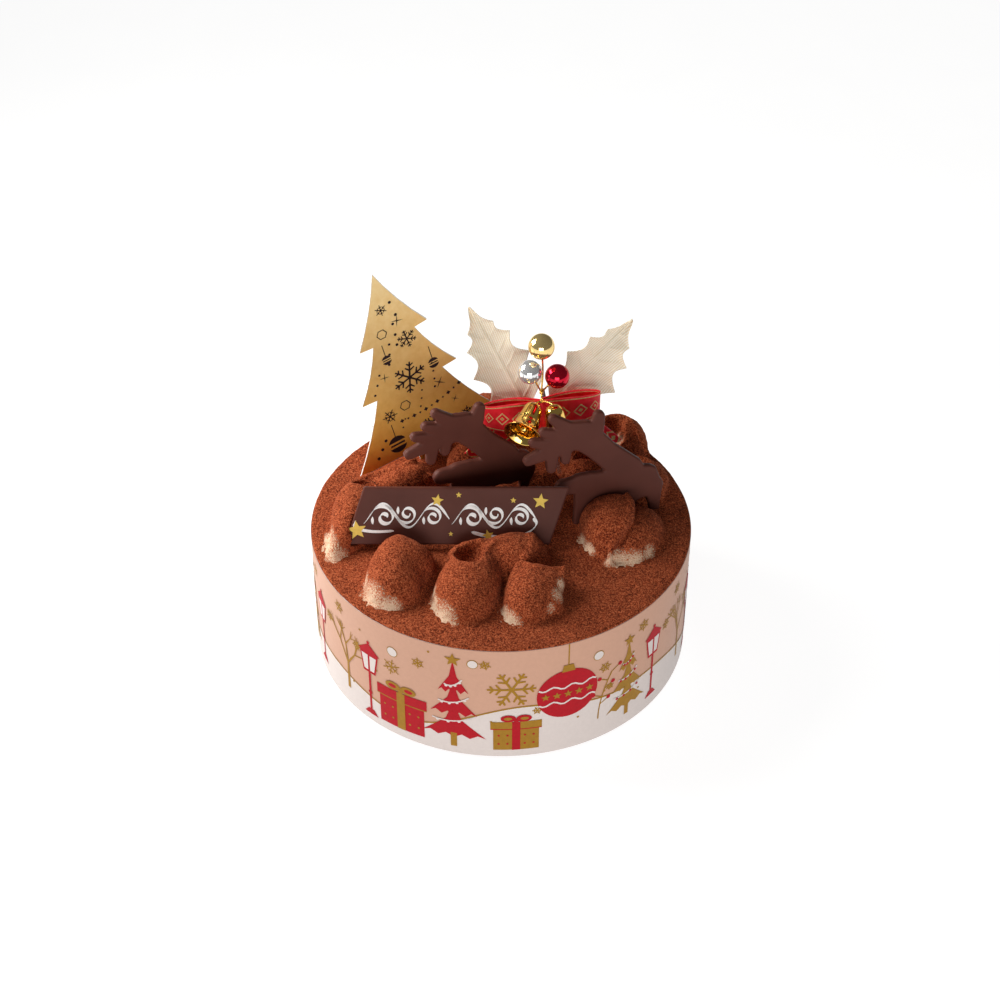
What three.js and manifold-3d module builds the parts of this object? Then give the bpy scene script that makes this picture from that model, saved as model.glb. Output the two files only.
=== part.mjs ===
// A round chocolate cake dusted with cocoa, for about four people, with a ring of piped cream
// petals under the cocoa, a printed paper band, and the decorations that come pushed into its top:
// a gold card tree, two chocolate reindeer, a chocolate plaque and a holly pick with a ribbon bow,
// three shiny balls and two bells.
// Units are millimetres. +X runs to the right across the front, +Y goes to the back, +Z is up,
// and the origin is the centre of the cake's base.

import * as THREE from "three";
import { mergeVertices } from "three/addons/utils/BufferGeometryUtils.js";
import Module from "manifold-3d";

const wasm = await Module();
wasm.setup();

// ---------------------------------------------------------------- driving sizes

const GAP = 0.3; // clearance left between two pieces that touch

const BAND_RADIUS = 60; // outside of the paper band, which is the whole cake's radius
const BAND_THICK = 0.4;
const BAND_LIFT = 0.6; // the paper ends this far above the table
const CAKE_HEIGHT = 45.5;
const CAKE_RADIUS = BAND_RADIUS - BAND_THICK - GAP;
const EDGE_ROUND = 1.6; // soft top edge of the cocoa
const BAND_TOP = CAKE_HEIGHT - 0.9;

const FOIL_THICK = 0.5;
const PLAQUE_THICK = 2.2;
const DEER_THICK = 2.4;
const CHOCOLATE_BEVEL = 0.35; // moulded edges of the chocolate pieces
const LEAF_THICK = 0.7;
const RIBBON_THICK = 0.5;
const RIBBON_WIDTH = 15;
const WIRE_RADIUS = 0.3; // a gold wire that carries one ball or bell
const STEM_RADIUS = 0.7; // the clear stick of the pick and the stalks of its leaves

const ROUND_STEPS = 80; // sides of the cake and the band
const ARC_STEPS = 3; // half the sides of a round end in an outline

const COLOURS = {
  cocoa: 0x8f4a2b,
  paper: 0xe2bca8,
  foil: 0xc89a4e,
  chocolate: 0x4a2a24,
  leaf: 0xe0cba8,
  gold: 0xd8a83a,
  silver: 0xd9dcdd,
  red: 0xb0182c,
  ribbon: 0xc4202f,
  clear: 0xd8dcda,
};

// ---------------------------------------------------------------- helpers

const cake = new THREE.Group();

function solidOf(geometry) {
  const bare = geometry.clone();
  bare.deleteAttribute("normal");
  bare.deleteAttribute("uv");
  const merged = mergeVertices(bare, 1e-4);
  return new wasm.Manifold(
    new wasm.Mesh({
      numProp: 3,
      vertProperties: new Float32Array(merged.attributes.position.array),
      triVerts: new Uint32Array(merged.index.array),
    }),
  );
}

function geometryOf(solid) {
  const mesh = solid.getMesh();
  const geometry = new THREE.BufferGeometry();
  geometry.setAttribute("position", new THREE.BufferAttribute(new Float32Array(mesh.vertProperties), 3));
  geometry.setIndex(new THREE.BufferAttribute(new Uint32Array(mesh.triVerts), 1));
  geometry.computeVertexNormals();
  return geometry;
}

function addPiece(name, geometry, colour, { metal = 0, rough = 0.7 } = {}) {
  const material = new THREE.MeshStandardMaterial({ color: colour, metalness: metal, roughness: rough });
  const mesh = new THREE.Mesh(geometry, material);
  mesh.name = name;
  cake.add(mesh);
}

const unionOf = (solids) => solids.reduce((joined, next) => joined.add(next));
const radians = THREE.MathUtils.degToRad;

// A frame for something upright: local x runs along it, y up it and z out of its front face.
// yaw swings its right end back, lean tips its top back, and roll tips its top to the left.
function standing({ at, yaw = 0, lean = 0, roll = 0 }) {
  return new THREE.Matrix4()
    .makeTranslation(at[0], at[1], at[2])
    .multiply(new THREE.Matrix4().makeRotationZ(radians(yaw)))
    .multiply(new THREE.Matrix4().makeRotationX(radians(90 - lean)))
    .multiply(new THREE.Matrix4().makeRotationZ(radians(roll)));
}

// A flat piece cut or moulded from a sheet, centred on its own mid-plane.
function plate(shape, thick, bevel = 0) {
  const geometry = new THREE.ExtrudeGeometry(shape, {
    depth: thick - 2 * bevel,
    bevelEnabled: bevel > 0,
    bevelThickness: bevel,
    bevelSize: bevel,
    bevelOffset: -bevel,
    bevelSegments: 1,
    curveSegments: ARC_STEPS,
  });
  return geometry.translate(0, 0, bevel - thick / 2);
}

// A thin sheet of even thickness. place(u, v) gives its mid-surface for u and v from 0 to 1, and
// both faces are split into triangles alike.
function sheet(place, uSteps, vSteps, thick) {
  const corners = [];
  const faces = [];
  const small = 1e-3;
  const nearby = (value) => (value + small > 1 ? value - small : value + small);
  const sign = (value) => (value + small > 1 ? -1 : 1);
  for (const side of [1, -1]) {
    for (let i = 0; i <= uSteps; i++) {
      for (let j = 0; j <= vSteps; j++) {
        const [u, v] = [i / uSteps, j / vSteps];
        const point = place(u, v);
        const alongU = place(nearby(u), v).sub(point).multiplyScalar(sign(u));
        const alongV = place(u, nearby(v)).sub(point).multiplyScalar(sign(v));
        const normal = alongU.cross(alongV).normalize();
        corners.push(...point.addScaledVector(normal, (side * thick) / 2).toArray());
      }
    }
  }
  const row = vSteps + 1;
  const half = (uSteps + 1) * row;
  const quad = (a, b, c, d) => faces.push(a, b, c, a, c, d);
  for (let i = 0; i < uSteps; i++) {
    for (let j = 0; j < vSteps; j++) {
      const a = i * row + j;
      faces.push(a, a + row, a + row + 1, a, a + row + 1, a + 1);
      faces.push(half + a, half + a + row + 1, half + a + row, half + a, half + a + 1, half + a + row + 1);
    }
  }
  for (let i = 0; i < uSteps; i++) {
    const near = i * row;
    const far = near + vSteps;
    quad(near, near + half, near + row + half, near + row);
    quad(far, far + row, far + row + half, far + half);
  }
  for (let j = 0; j < vSteps; j++) {
    const start = j;
    const end = uSteps * row + j;
    quad(start, start + 1, start + 1 + half, start + half);
    quad(end, end + half, end + 1 + half, end + 1);
  }
  const geometry = new THREE.BufferGeometry();
  geometry.setAttribute("position", new THREE.BufferAttribute(new Float32Array(corners), 3));
  geometry.setIndex(faces);
  return geometry;
}

// A round wire that runs through the given points.
function wire(points, radius, steps) {
  const circle = new THREE.Shape().absarc(0, 0, radius, 0, 2 * Math.PI);
  const extrudePath = new THREE.CatmullRomCurve3(points);
  return solidOf(
    new THREE.ExtrudeGeometry(circle, { steps, curveSegments: ARC_STEPS, extrudePath, bevelEnabled: false }),
  );
}

// ---------------------------------------------------------------- cake and paper band

function cakeProfile() {
  const profile = [new THREE.Vector2(0, 0), new THREE.Vector2(CAKE_RADIUS, 0)];
  const roundSteps = 3;
  for (let i = 0; i <= roundSteps; i++) {
    const turn = (i / roundSteps) * (Math.PI / 2);
    profile.push(
      new THREE.Vector2(
        CAKE_RADIUS - EDGE_ROUND + EDGE_ROUND * Math.cos(turn),
        CAKE_HEIGHT - EDGE_ROUND + EDGE_ROUND * Math.sin(turn),
      ),
    );
  }
  profile.push(new THREE.Vector2(0, CAKE_HEIGHT));
  return profile;
}

function turned(profile) {
  return new THREE.LatheGeometry(profile, ROUND_STEPS).rotateX(Math.PI / 2);
}

function bandProfile() {
  const inner = BAND_RADIUS - BAND_THICK;
  return [
    new THREE.Vector2(inner, BAND_LIFT),
    new THREE.Vector2(BAND_RADIUS, BAND_LIFT),
    new THREE.Vector2(BAND_RADIUS, BAND_TOP),
    new THREE.Vector2(inner, BAND_TOP),
    new THREE.Vector2(inner, BAND_LIFT),
  ];
}

// ---------------------------------------------------------------- card tree

const TREE = {
  place: { at: [-45.6, 20.8, CAKE_HEIGHT], yaw: 27, lean: 4, roll: 13.3 },
  // Each tier: how far its tip lies below the top, half its width there, and half the notch above it.
  tiers: [
    { down: 24.2, tip: 12.1, notch: 7.4 },
    { down: 43.4, tip: 17.3, notch: 12.0 },
    { down: 68.4, tip: 25.9, notch: 5.0 },
  ],
  notchDrop: 0.4, // a notch lies this much lower than the tip beside it
  hollow: 0.9, // how far each slanting edge curves in
  trunkLength: 14,
};

// One slanting side of the tree from its top down to the foot of the trunk.
function treeSide(side) {
  const points = [];
  let from = new THREE.Vector2(0, 0);
  for (const { down, tip, notch } of TREE.tiers) {
    const end = new THREE.Vector2(side * tip, -down);
    const middle = from.clone().lerp(end, 0.5);
    middle.x -= side * TREE.hollow;
    from = new THREE.Vector2(side * notch, -down - TREE.notchDrop);
    points.push(middle, end, from);
  }
  points.push(new THREE.Vector2(from.x, from.y - TREE.trunkLength));
  return points;
}

function treeShape() {
  return new THREE.Shape([new THREE.Vector2(0, 0), ...treeSide(-1), ...treeSide(1).reverse()]);
}

// The lowest left tip of the tree touches the cocoa at TREE.place.at.
function treeMatrix() {
  const lowest = TREE.tiers[TREE.tiers.length - 1];
  return standing(TREE.place).multiply(new THREE.Matrix4().makeTranslation(lowest.tip, lowest.down, 0));
}

// ---------------------------------------------------------------- chocolate reindeer

const DEER_PLACES = {
  reindeer_right: { at: [48.6, 5.4, 44], yaw: 16, lean: 8, roll: 0 },
  reindeer_left: { at: [7.6, 13.2, 45], yaw: 25, lean: 0, roll: -3.1 },
};

// Round-ended tapered strokes, from [x, y, half width] to [x, y, half width], measured from the hind foot.
const DEER_LIMBS = {
  body: [[-19, 10.6, 7.4], [-4, 12, 5.6]],
  haunch: [[-3, 12.9, 5.1], [-0.6, 10.4, 3.3]],
  hindLeg: [[-0.2, 10, 3], [0, 1.7, 1.7]],
  hindLegBehind: [[-9, 7.5, 3.6], [-11, -1, 2.1]],
  foreLeg: [[-22.5, 8, 3.9], [-25, -3, 2.4]],
  foreLegBehind: [[-16.5, 7, 3.4], [-17.5, -3, 2.2]],
  muzzle: [[-14, 14.6, 4.1], [-29.9, 15.2, 2.6]],
  brow: [[-21, 15.4, 3.4], [-24.4, 15.5, 3.3]],
  neck: [[-8.5, 17.2, 5], [-17.6, 26.4, 4.1]],
  head: [[-17.6, 26.8, 4.3], [-23, 32.4, 5]],
  palm: [[-23, 32.5, 4.9], [-29.4, 31.9, 4.1]],
  crown: [[-25.5, 34.6, 3.2], [-28, 34.4, 3.2]],
  ear: [[-18.9, 34, 2.6], [-17.9, 38.2, 1.9]],
  tineTop: [[-27.6, 35.4, 2.6], [-32.5, 39.8, 1.6]],
  tineUpper: [[-29.6, 33.4, 2.2], [-35.7, 35.8, 1.5]],
  tineMiddle: [[-32, 30.6, 2.4], [-39.1, 32.8, 1.5]],
  tineLower: [[-32, 29.4, 2.8], [-40.9, 26.8, 1.7]],
  tineHanging: [[-33.2, 28.2, 2.2], [-33.6, 22.7, 1.6]],
  tineInner: [[-28.6, 29, 2], [-29, 24.9, 1.5]],
};

const DEER_SLIT = { left: -28, right: 4, bottom: -6, top: 8 };

// Outline of one stroke: two round ends joined by the straight lines that touch both.
function strokeShape([[x0, y0, r0], [x1, y1, r1]]) {
  const length = Math.hypot(x1 - x0, y1 - y0);
  const heading = Math.atan2(y1 - y0, x1 - x0);
  const spread = Math.acos((r0 - r1) / length);
  const shape = new THREE.Shape();
  shape.absarc(x0, y0, r0, heading + spread, heading - spread + 2 * Math.PI, false);
  shape.absarc(x1, y1, r1, heading - spread, heading + spread, false);
  shape.closePath();
  return shape;
}

// The whole animal standing in its place, grown all round by the given amount.
function deerSolid(matrix, grow = 0) {
  const limbs = Object.values(DEER_LIMBS).map((ends) => ends.map(([x, y, r]) => [x, y, r + grow]));
  const plates = limbs.map((limb) => plate(strokeShape(limb), DEER_THICK + 2 * grow));
  return unionOf(plates.map((limb) => solidOf(limb.applyMatrix4(matrix))));
}

// The slit that a petal leaves for the reindeer standing in it, from the front hoof to the tail.
function deerSlit(matrix) {
  const { left, right, bottom, top } = DEER_SLIT;
  const outline = [[left, bottom], [right, bottom], [right, top], [left, top]];
  const shape = new THREE.Shape(outline.map(([x, y]) => new THREE.Vector2(x, y)));
  return solidOf(plate(shape, DEER_THICK + 2 * GAP).applyMatrix4(matrix));
}

// ---------------------------------------------------------------- chocolate plaque

const PLAQUE = {
  place: { at: [-16.6, -14.6, CAKE_HEIGHT + 1.8], yaw: 0, lean: 30 },
  width: 63.4,
  height: 18,
  slant: 6, // the top edge stands this far right of the bottom edge
};

function plaqueShape(grow = 0) {
  const half = PLAQUE.width / 2 + grow;
  const top = PLAQUE.height + grow;
  const outline = [[-half, -grow], [half, -grow], [half + PLAQUE.slant, top], [-half + PLAQUE.slant, top]];
  return new THREE.Shape(outline.map(([x, y]) => new THREE.Vector2(x, y)));
}

// ---------------------------------------------------------------- cream petals

// Each lump is an egg: centre, half length, half width, half height, the way its long axis points,
// and how far that axis tips up. scoops are eggs cut out of the petal, where the nozzle folded it.
const BED = CAKE_HEIGHT + GAP;
const PETALS = {
  petal_left: {
    lumps: [{ at: [-45.6, -2.5, 47.4], half: [16, 8.6, 9], turn: 82 }],
    scoops: [{ at: [-44.5, 8.5, 57.2], half: [6, 5, 5.5], turn: 60 }],
    behindPlaque: true,
  },
  petal_left_rear: {
    lumps: [
      { at: [-37.5, 13.5, 46], half: [12.6, 7.4, 6], turn: -10, tip: 16 },
      { at: [-30, 11, 48], half: [8.6, 7, 11.5], turn: -20 },
    ],
    scoops: [],
  },
  petal_front_left: {
    lumps: [{ at: [-32.6, -29, 47.5], half: [14.8, 8, 9], turn: -108, tip: -4 }],
    scoops: [],
  },
  petal_front: {
    lumps: [
      { at: [-9.6, -32, 47.4], half: [17, 9.7, 8.7], turn: -108, tip: -4 },
      { at: [3.4, -21.5, 47.3], half: [11.4, 9, 8], turn: 6 },
    ],
    scoops: [{ at: [-9.6, -24.6, 56.4], half: [7, 6.4, 6.6], turn: -20 }],
  },
  petal_front_right: {
    lumps: [
      { at: [9.6, -36, 47], half: [13, 8.2, 7.8], turn: -110, tip: -4 },
      { at: [12.8, -30.5, 48], half: [6.6, 3.8, 4.6], turn: 12, tip: 6 },
    ],
    scoops: [{ at: [14.4, -24.8, 54.8], half: [8, 5, 7.4], turn: 12 }],
  },
  petal_right: {
    lumps: [
      { at: [31.6, -5.6, 47.5], half: [10.6, 7.6, 9.9], turn: 80 },
      { at: [40.8, -9.6, 47.2], half: [12.4, 8, 8.6], turn: 72 },
    ],
    scoops: [],
  },
  petal_right_rear: { lumps: [{ at: [45, 15, 46.6], half: [12.5, 8.4, 5.6], turn: 80 }], scoops: [] },
  petal_back_right: {
    lumps: [{ at: [36.6, 31.5, 46.6], half: [10.6, 8.2, 13.6], turn: 40 }],
    scoops: [{ at: [31, 28.6, 60], half: [6, 5, 5], turn: 30 }],
  },
  petal_back: {
    lumps: [{ at: [18, 44.5, 48], half: [13, 8.4, 9], turn: 68 }],
    scoops: [{ at: [14, 34, 57], half: [6, 5, 5], turn: 68 }],
  },
  petal_back_middle: {
    lumps: [{ at: [-4.5, 47, 48], half: [12, 8.4, 8.8], turn: 96 }],
    scoops: [{ at: [-2, 36, 57], half: [6, 5, 5], turn: 96 }],
  },
  petal_back_left: {
    lumps: [{ at: [-27.5, 42.5, 48], half: [12, 7.6, 8.6], turn: 128 }],
    scoops: [{ at: [-20.5, 34.5, 57], half: [5.5, 5, 5], turn: 128 }],
  },
  peak_middle: { lumps: [{ at: [13.5, 7, 48], half: [6.6, 5.4, 11.4], turn: 40 }], scoops: [] },
  peak_right: {
    lumps: [{ at: [27, 13.5, 48], half: [9, 7.6, 10.4], turn: 10 }],
    scoops: [{ at: [27.5, 17, 60.5], half: [7.5, 5, 5.2], turn: 10 }],
  },
  peak_front: { lumps: [{ at: [1, -0.5, 47], half: [8.4, 6, 12], turn: 15 }], scoops: [] },
  peak_rear: { lumps: [{ at: [-9.5, 24, 48], half: [9, 7, 9.8], turn: 30 }], scoops: [] },
};
const PETAL_TAPER = 0.18; // an egg is this much wider at its outer end

const EGG_SIDES = 14;

// An egg, grown by the given amount all round.
function egg({ at, half, turn = 0, tip = 0 }, grow = 0) {
  const geometry = new THREE.SphereGeometry(1, EGG_SIDES, EGG_SIDES / 2 + 1);
  geometry.rotateX(Math.PI / 2);
  const [length, width, height] = half.map((size) => size + grow);
  const position = geometry.attributes.position;
  for (let i = 0; i < position.count; i++) {
    const along = position.getX(i);
    const swell = 1 + PETAL_TAPER * along;
    position.setXYZ(i, along * length, position.getY(i) * width * swell, position.getZ(i) * height);
  }
  const place = new THREE.Matrix4()
    .makeTranslation(at[0], at[1], at[2])
    .multiply(new THREE.Matrix4().makeRotationZ(radians(turn)))
    .multiply(new THREE.Matrix4().makeRotationY(radians(-tip)));
  return solidOf(geometry.applyMatrix4(place));
}

// Everything below the cocoa bed is cut away with one wide slab.
function slabBelow(height) {
  const depth = 40;
  return solidOf(new THREE.BoxGeometry(200, 200, depth).translate(0, 0, height - depth / 2));
}

// ---------------------------------------------------------------- holly pick

const PICK = {
  foot: [21.4, 23.1, 33], // lower end of the stick, inside the cake
  top: [13, 23.1, 79], // its upper end, behind the knot
  leafJoint: [14.8, 23.1, 69], // where the stalks of the two leaves leave the stick
  fork: [12.6, 18.4, 81.4], // where the wires of the balls part
  hook: [12.7, 16.4, 79.4], // where the bells hang, in front of the knot
  twist: 0.7, // radius of the twisted wire at the fork and the hook
};
const KNOT = { at: [12.4, 19.6, 71.3], half: [3.2, 2.4, 6] };

const BALLS = {
  ball_gold: { at: [12.4, 18.5, 98.6], radius: 4.1, colour: COLOURS.gold, by: [[13.1, 20.3, 88.5]] },
  ball_silver: { at: [8.9, 17.6, 89.7], radius: 3.8, colour: COLOURS.silver, by: [] },
  ball_red: { at: [17.4, 17.6, 88.1], radius: 3.85, colour: COLOURS.red, by: [] },
};
const BALL_SIDES = 16;

// side is the way the ripples run; widths scale the half left and the half right of the midrib.
const LEAVES = {
  holly_leaf_left: { at: [7.4, 27, 71], lean: 15, roll: 29, side: 1, widths: [1, 1.02] },
  holly_leaf_right: { at: [17.2, 27, 71.6], lean: 15, roll: -41.7, side: -1, widths: [0.87, 1.19] },
};
const LEAF = {
  length: 36,
  // Where the spines stand: share of the length, and the half width there.
  spines: [[0, 3], [0.15, 9.5], [0.42, 10.1], [0.655, 7.7], [0.8, 4.6], [1, 0.25]],
  bay: 0.3, // how deeply the edge swings in between two spines
  ripple: 0.5,
  ripples: 5,
  cup: 1.8, // how far the edges stand forward of the midrib
  bend: 2.4, // how far the tip bows back
  steps: [25, 4],
};

function leafHalfWidth(along) {
  const index = Math.max(LEAF.spines.findIndex(([share]) => share >= along), 1);
  const [s0, w0] = LEAF.spines[index - 1];
  const [s1, w1] = LEAF.spines[index];
  const t = (along - s0) / (s1 - s0);
  const bay = index > 1 ? LEAF.bay * Math.sin(Math.PI * t) : 0;
  return (w0 + (w1 - w0) * t) * (1 - bay);
}

function leafSheet({ side, widths }) {
  const place = (u, v) => {
    const across = 2 * v - 1;
    const x = across * leafHalfWidth(u) * widths[across < 0 ? 0 : 1];
    const ripple = side * LEAF.ripple * Math.sin(u * LEAF.ripples * Math.PI) * Math.abs(across);
    return new THREE.Vector3(x, u * LEAF.length, LEAF.cup * across * across - LEAF.bend * u * u + ripple);
  };
  return sheet(place, ...LEAF.steps, LEAF_THICK);
}

// A flattened loop of ribbon that leaves the knot and comes back to it, seen from above as a long
// teardrop. The ribbon stands upright and narrows to endWidth where it turns.
const LOOPS = [
  { reach: 17.8, heading: 178, rise: -0.3, endWidth: 8 },
  { reach: 18.7, heading: 4, rise: 4.6, endWidth: 8 },
];
const LOOP = {
  deep: 4.4, // front layer to back layer at the widest
  throat: 0.55, // share of that depth kept next to the knot
  margin: 0.015, // share of the loop hidden in the knot at each end
  steps: 24,
};

function loopSheet({ reach, heading, rise, endWidth }) {
  const turn = new THREE.Matrix4().makeRotationZ(radians(heading));
  const place = (u, v) => {
    const angle = 2 * Math.PI * (LOOP.margin + (1 - 2 * LOOP.margin) * u);
    const share = (1 - Math.cos(angle)) / 2;
    const wide = (LOOP.deep / 2) * Math.sin(angle) * (LOOP.throat + (1 - LOOP.throat) * share);
    const width = RIBBON_WIDTH + (endWidth - RIBBON_WIDTH) * share;
    return new THREE.Vector3(reach * share, wide, (v - 0.5) * width + rise * share).applyMatrix4(turn);
  };
  return sheet(place, LOOP.steps, 1, RIBBON_THICK);
}

// The cut ends of the ribbon hang down and outward from the knot.
const TAIL_ENDS = [[-22, -2.6, -16.4], [24, -0.6, -12.4]];
const TAIL = { width: 9, slant: 0.45, upright: 0.8, sagForward: 1.5, sagUp: 2.5, steps: 8 };

function tailSheet([endX, endY, endZ]) {
  const place = (u, v) => {
    const sag = Math.sin(Math.PI * u);
    const aside = (v - 0.5) * TAIL.width;
    return new THREE.Vector3(
      endX * u + aside * Math.sign(endX) * TAIL.slant,
      endY * u + TAIL.sagForward * sag,
      endZ * u + TAIL.sagUp * sag + aside * TAIL.upright,
    );
  };
  return sheet(place, TAIL.steps, 1, RIBBON_THICK);
}

function bowSolid() {
  const knot = new THREE.SphereGeometry(1, 12, 8).scale(...KNOT.half);
  const parts = [knot, ...LOOPS.map(loopSheet), ...TAIL_ENDS.map(tailSheet)];
  return unionOf(parts.map((geometry) => solidOf(geometry.translate(...KNOT.at))));
}

// Bells hang from the hook by their crowns, mouth first along mouthAim.
const BELL = { height: 12, mouth: 5.9, waist: 3.7, shoulder: 3.1, wall: 0.55, sides: 20 };
const BELLS = {
  bell_left: { crown: [10.6, 14.6, 79.2], mouthAim: [-0.34, -0.9, -0.27] },
  bell_right: { crown: [16.2, 12.4, 80.4], mouthAim: [0.16, -0.1, -0.98] },
};

// Radius and distance from the crown, down the outside and back up the inside.
function bellProfile() {
  const { height, mouth, waist, shoulder, wall } = BELL;
  const outside = [
    [shoulder * 0.55, 0.25],
    [shoulder * 0.95, 1.6],
    [shoulder, 2.8],
    [waist, height * 0.55],
    [waist * 1.16, height * 0.8],
    [mouth * 0.9, height * 0.95],
  ];
  const inside = outside.map(([radius, down]) => [radius - wall, down + wall]).reverse();
  const profile = [[0, 0], ...outside, [mouth, height], ...inside, [0, 2 * wall]];
  return profile.map(([radius, down]) => new THREE.Vector2(radius, down));
}

function bellGeometry({ crown, mouthAim }) {
  const aim = new THREE.Vector3(...mouthAim).normalize();
  const spin = new THREE.Quaternion().setFromUnitVectors(new THREE.Vector3(0, 1, 0), aim);
  return new THREE.LatheGeometry(bellProfile(), BELL.sides).applyQuaternion(spin).translate(...crown);
}

const vectors = (points) => points.map((point) => new THREE.Vector3(...point));

// A wire from start, by way of the given points, that ends short of a target's middle.
function wireTo(start, { at, short, by = [] }, radius) {
  const points = vectors([start, ...by]);
  const end = new THREE.Vector3(...at);
  const toward = points.at(-1).clone().sub(end).normalize();
  return wire([...points, end.addScaledVector(toward, short + GAP)], radius, 2 * points.length);
}

function stickSolid() {
  const stick = wire(vectors([PICK.foot, PICK.top]), STEM_RADIUS, 1);
  const stalks = Object.values(LEAVES).map(({ at }) =>
    wireTo(PICK.leafJoint, { at, short: LEAF_THICK }, STEM_RADIUS),
  );
  return unionOf([stick, ...stalks]);
}

function wiresSolid() {
  const twists = [PICK.fork, PICK.hook].map((at) =>
    solidOf(new THREE.SphereGeometry(PICK.twist, 8, 6).translate(...at)),
  );
  const link = wire(vectors([PICK.fork, PICK.hook]), WIRE_RADIUS, 1);
  const balls = Object.values(BALLS).map(({ at, radius, by }) =>
    wireTo(PICK.fork, { at, short: radius, by }, WIRE_RADIUS),
  );
  const bells = Object.values(BELLS).map(({ crown, mouthAim }) => {
    const above = new THREE.Vector3(...mouthAim).setLength(-2 * WIRE_RADIUS).add(new THREE.Vector3(...crown));
    return wireTo(PICK.hook, { at: above.toArray(), short: 0 }, WIRE_RADIUS);
  });
  return unionOf([...twists, link, ...balls, ...bells]);
}

// ---------------------------------------------------------------- building

const plaqueMatrix = standing(PLAQUE.place);
const deerMatrices = Object.values(DEER_PLACES).map(standing);

// What stands in the cake, grown by the clearance, leaves its hole there.
function holes() {
  const plaque = plate(plaqueShape(GAP * 1.5), PLAQUE_THICK + 2 * GAP).applyMatrix4(plaqueMatrix);
  const tree = plate(treeShape(), FOIL_THICK + 2 * GAP).applyMatrix4(treeMatrix());
  const below = new THREE.Vector3(0, 0, -GAP);
  const [foot, top] = vectors([PICK.foot, PICK.top]);
  const stick = wire([foot.add(below), top.add(below)], STEM_RADIUS + 1.5 * GAP, 1);
  const hoofPrints = deerMatrices.map((matrix) => deerSolid(matrix, GAP));
  return unionOf([solidOf(plaque), solidOf(tree), stick, ...hoofPrints]);
}

// The room in front of the plaque, for a petal that stays behind it.
function frontRoom() {
  const depth = 14;
  const room = plate(plaqueShape(), depth).translate(0, 0, depth / 2);
  return solidOf(room.applyMatrix4(plaqueMatrix));
}

const allHoles = holes();
const cakeSolid = solidOf(turned(cakeProfile())).subtract(allHoles);
addPiece("cake_body", geometryOf(cakeSolid), COLOURS.cocoa, { rough: 0.95 });
addPiece("paper_band", turned(bandProfile()), COLOURS.paper, { rough: 0.5 });

const slits = deerMatrices.map(deerSlit);
const inFrontOfPlaque = frontRoom();
let taken = unionOf([allHoles, ...slits, slabBelow(BED)]);
for (const [name, { lumps, scoops, behindPlaque }] of Object.entries(PETALS)) {
  const whole = unionOf(lumps.map((lump) => egg(lump)));
  const scooped = scoops.reduce((left, scoop) => left.subtract(egg(scoop)), whole);
  const petal = scooped.subtract(behindPlaque ? taken.add(inFrontOfPlaque) : taken);
  const [largest] = petal.decompose().sort((a, b) => b.volume() - a.volume());
  addPiece(name, geometryOf(largest), COLOURS.cocoa, { rough: 0.95 });
  taken = taken.add(unionOf(lumps.map((lump) => egg(lump, GAP))));
}

const tree = plate(treeShape(), FOIL_THICK).applyMatrix4(treeMatrix());
addPiece("card_tree", tree, COLOURS.foil, { metal: 0.9, rough: 0.3 });
const plaque = plate(plaqueShape(), PLAQUE_THICK, CHOCOLATE_BEVEL).applyMatrix4(plaqueMatrix);
addPiece("plaque", plaque, COLOURS.chocolate, { rough: 0.4 });
Object.keys(DEER_PLACES).forEach((name, index) => {
  addPiece(name, geometryOf(deerSolid(deerMatrices[index])), COLOURS.chocolate, { rough: 0.4 });
});
for (const [name, leaf] of Object.entries(LEAVES)) {
  addPiece(name, leafSheet(leaf).applyMatrix4(standing(leaf)), COLOURS.leaf, { rough: 0.6 });
}
for (const [name, { at, radius, colour }] of Object.entries(BALLS)) {
  const ball = new THREE.SphereGeometry(radius, BALL_SIDES, BALL_SIDES / 2 + 2).translate(...at);
  addPiece(name, ball, colour, { metal: 1, rough: 0.12 });
}
addPiece("pick_stick", geometryOf(stickSolid()), COLOURS.clear, { rough: 0.1 });
addPiece("pick_wires", geometryOf(wiresSolid()), COLOURS.gold, { metal: 1, rough: 0.3 });
addPiece("ribbon_bow", geometryOf(bowSolid()), COLOURS.ribbon, { rough: 0.35 });
for (const [name, bell] of Object.entries(BELLS)) {
  addPiece(name, bellGeometry(bell), COLOURS.gold, { metal: 1, rough: 0.2 });
}

export default cake;
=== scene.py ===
# %% [markdown]
# # A chocolate cake for a winter party
# The cake is 12 cm across: sponge and cream under sifted cocoa, a ring of piped petals, a printed
# paper band, and the decorations that a pastry shop pushes into its top. The solids of the packed
# part are the frame: every piece below is made in millimetres in the same frame, so it falls
# exactly where its solid stands, and then it takes the place of that solid.

# %% Start from the frame
import math

import bmesh
import bpy
import numpy as np
from mathutils import Matrix, Vector


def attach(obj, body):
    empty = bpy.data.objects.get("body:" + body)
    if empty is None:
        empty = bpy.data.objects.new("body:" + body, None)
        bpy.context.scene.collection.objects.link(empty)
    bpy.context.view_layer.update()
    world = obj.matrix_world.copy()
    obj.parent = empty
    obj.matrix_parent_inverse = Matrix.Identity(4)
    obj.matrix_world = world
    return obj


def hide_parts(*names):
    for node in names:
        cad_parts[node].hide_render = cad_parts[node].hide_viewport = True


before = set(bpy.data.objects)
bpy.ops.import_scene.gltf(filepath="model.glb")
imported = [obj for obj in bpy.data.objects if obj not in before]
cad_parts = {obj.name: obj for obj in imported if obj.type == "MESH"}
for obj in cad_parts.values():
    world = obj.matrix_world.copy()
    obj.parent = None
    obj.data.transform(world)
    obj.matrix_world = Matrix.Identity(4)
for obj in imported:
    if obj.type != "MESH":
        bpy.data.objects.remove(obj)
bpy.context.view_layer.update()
MM = 0.001
CAKE_HEIGHT = 45.5
BAND_RADIUS = 60.0

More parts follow.
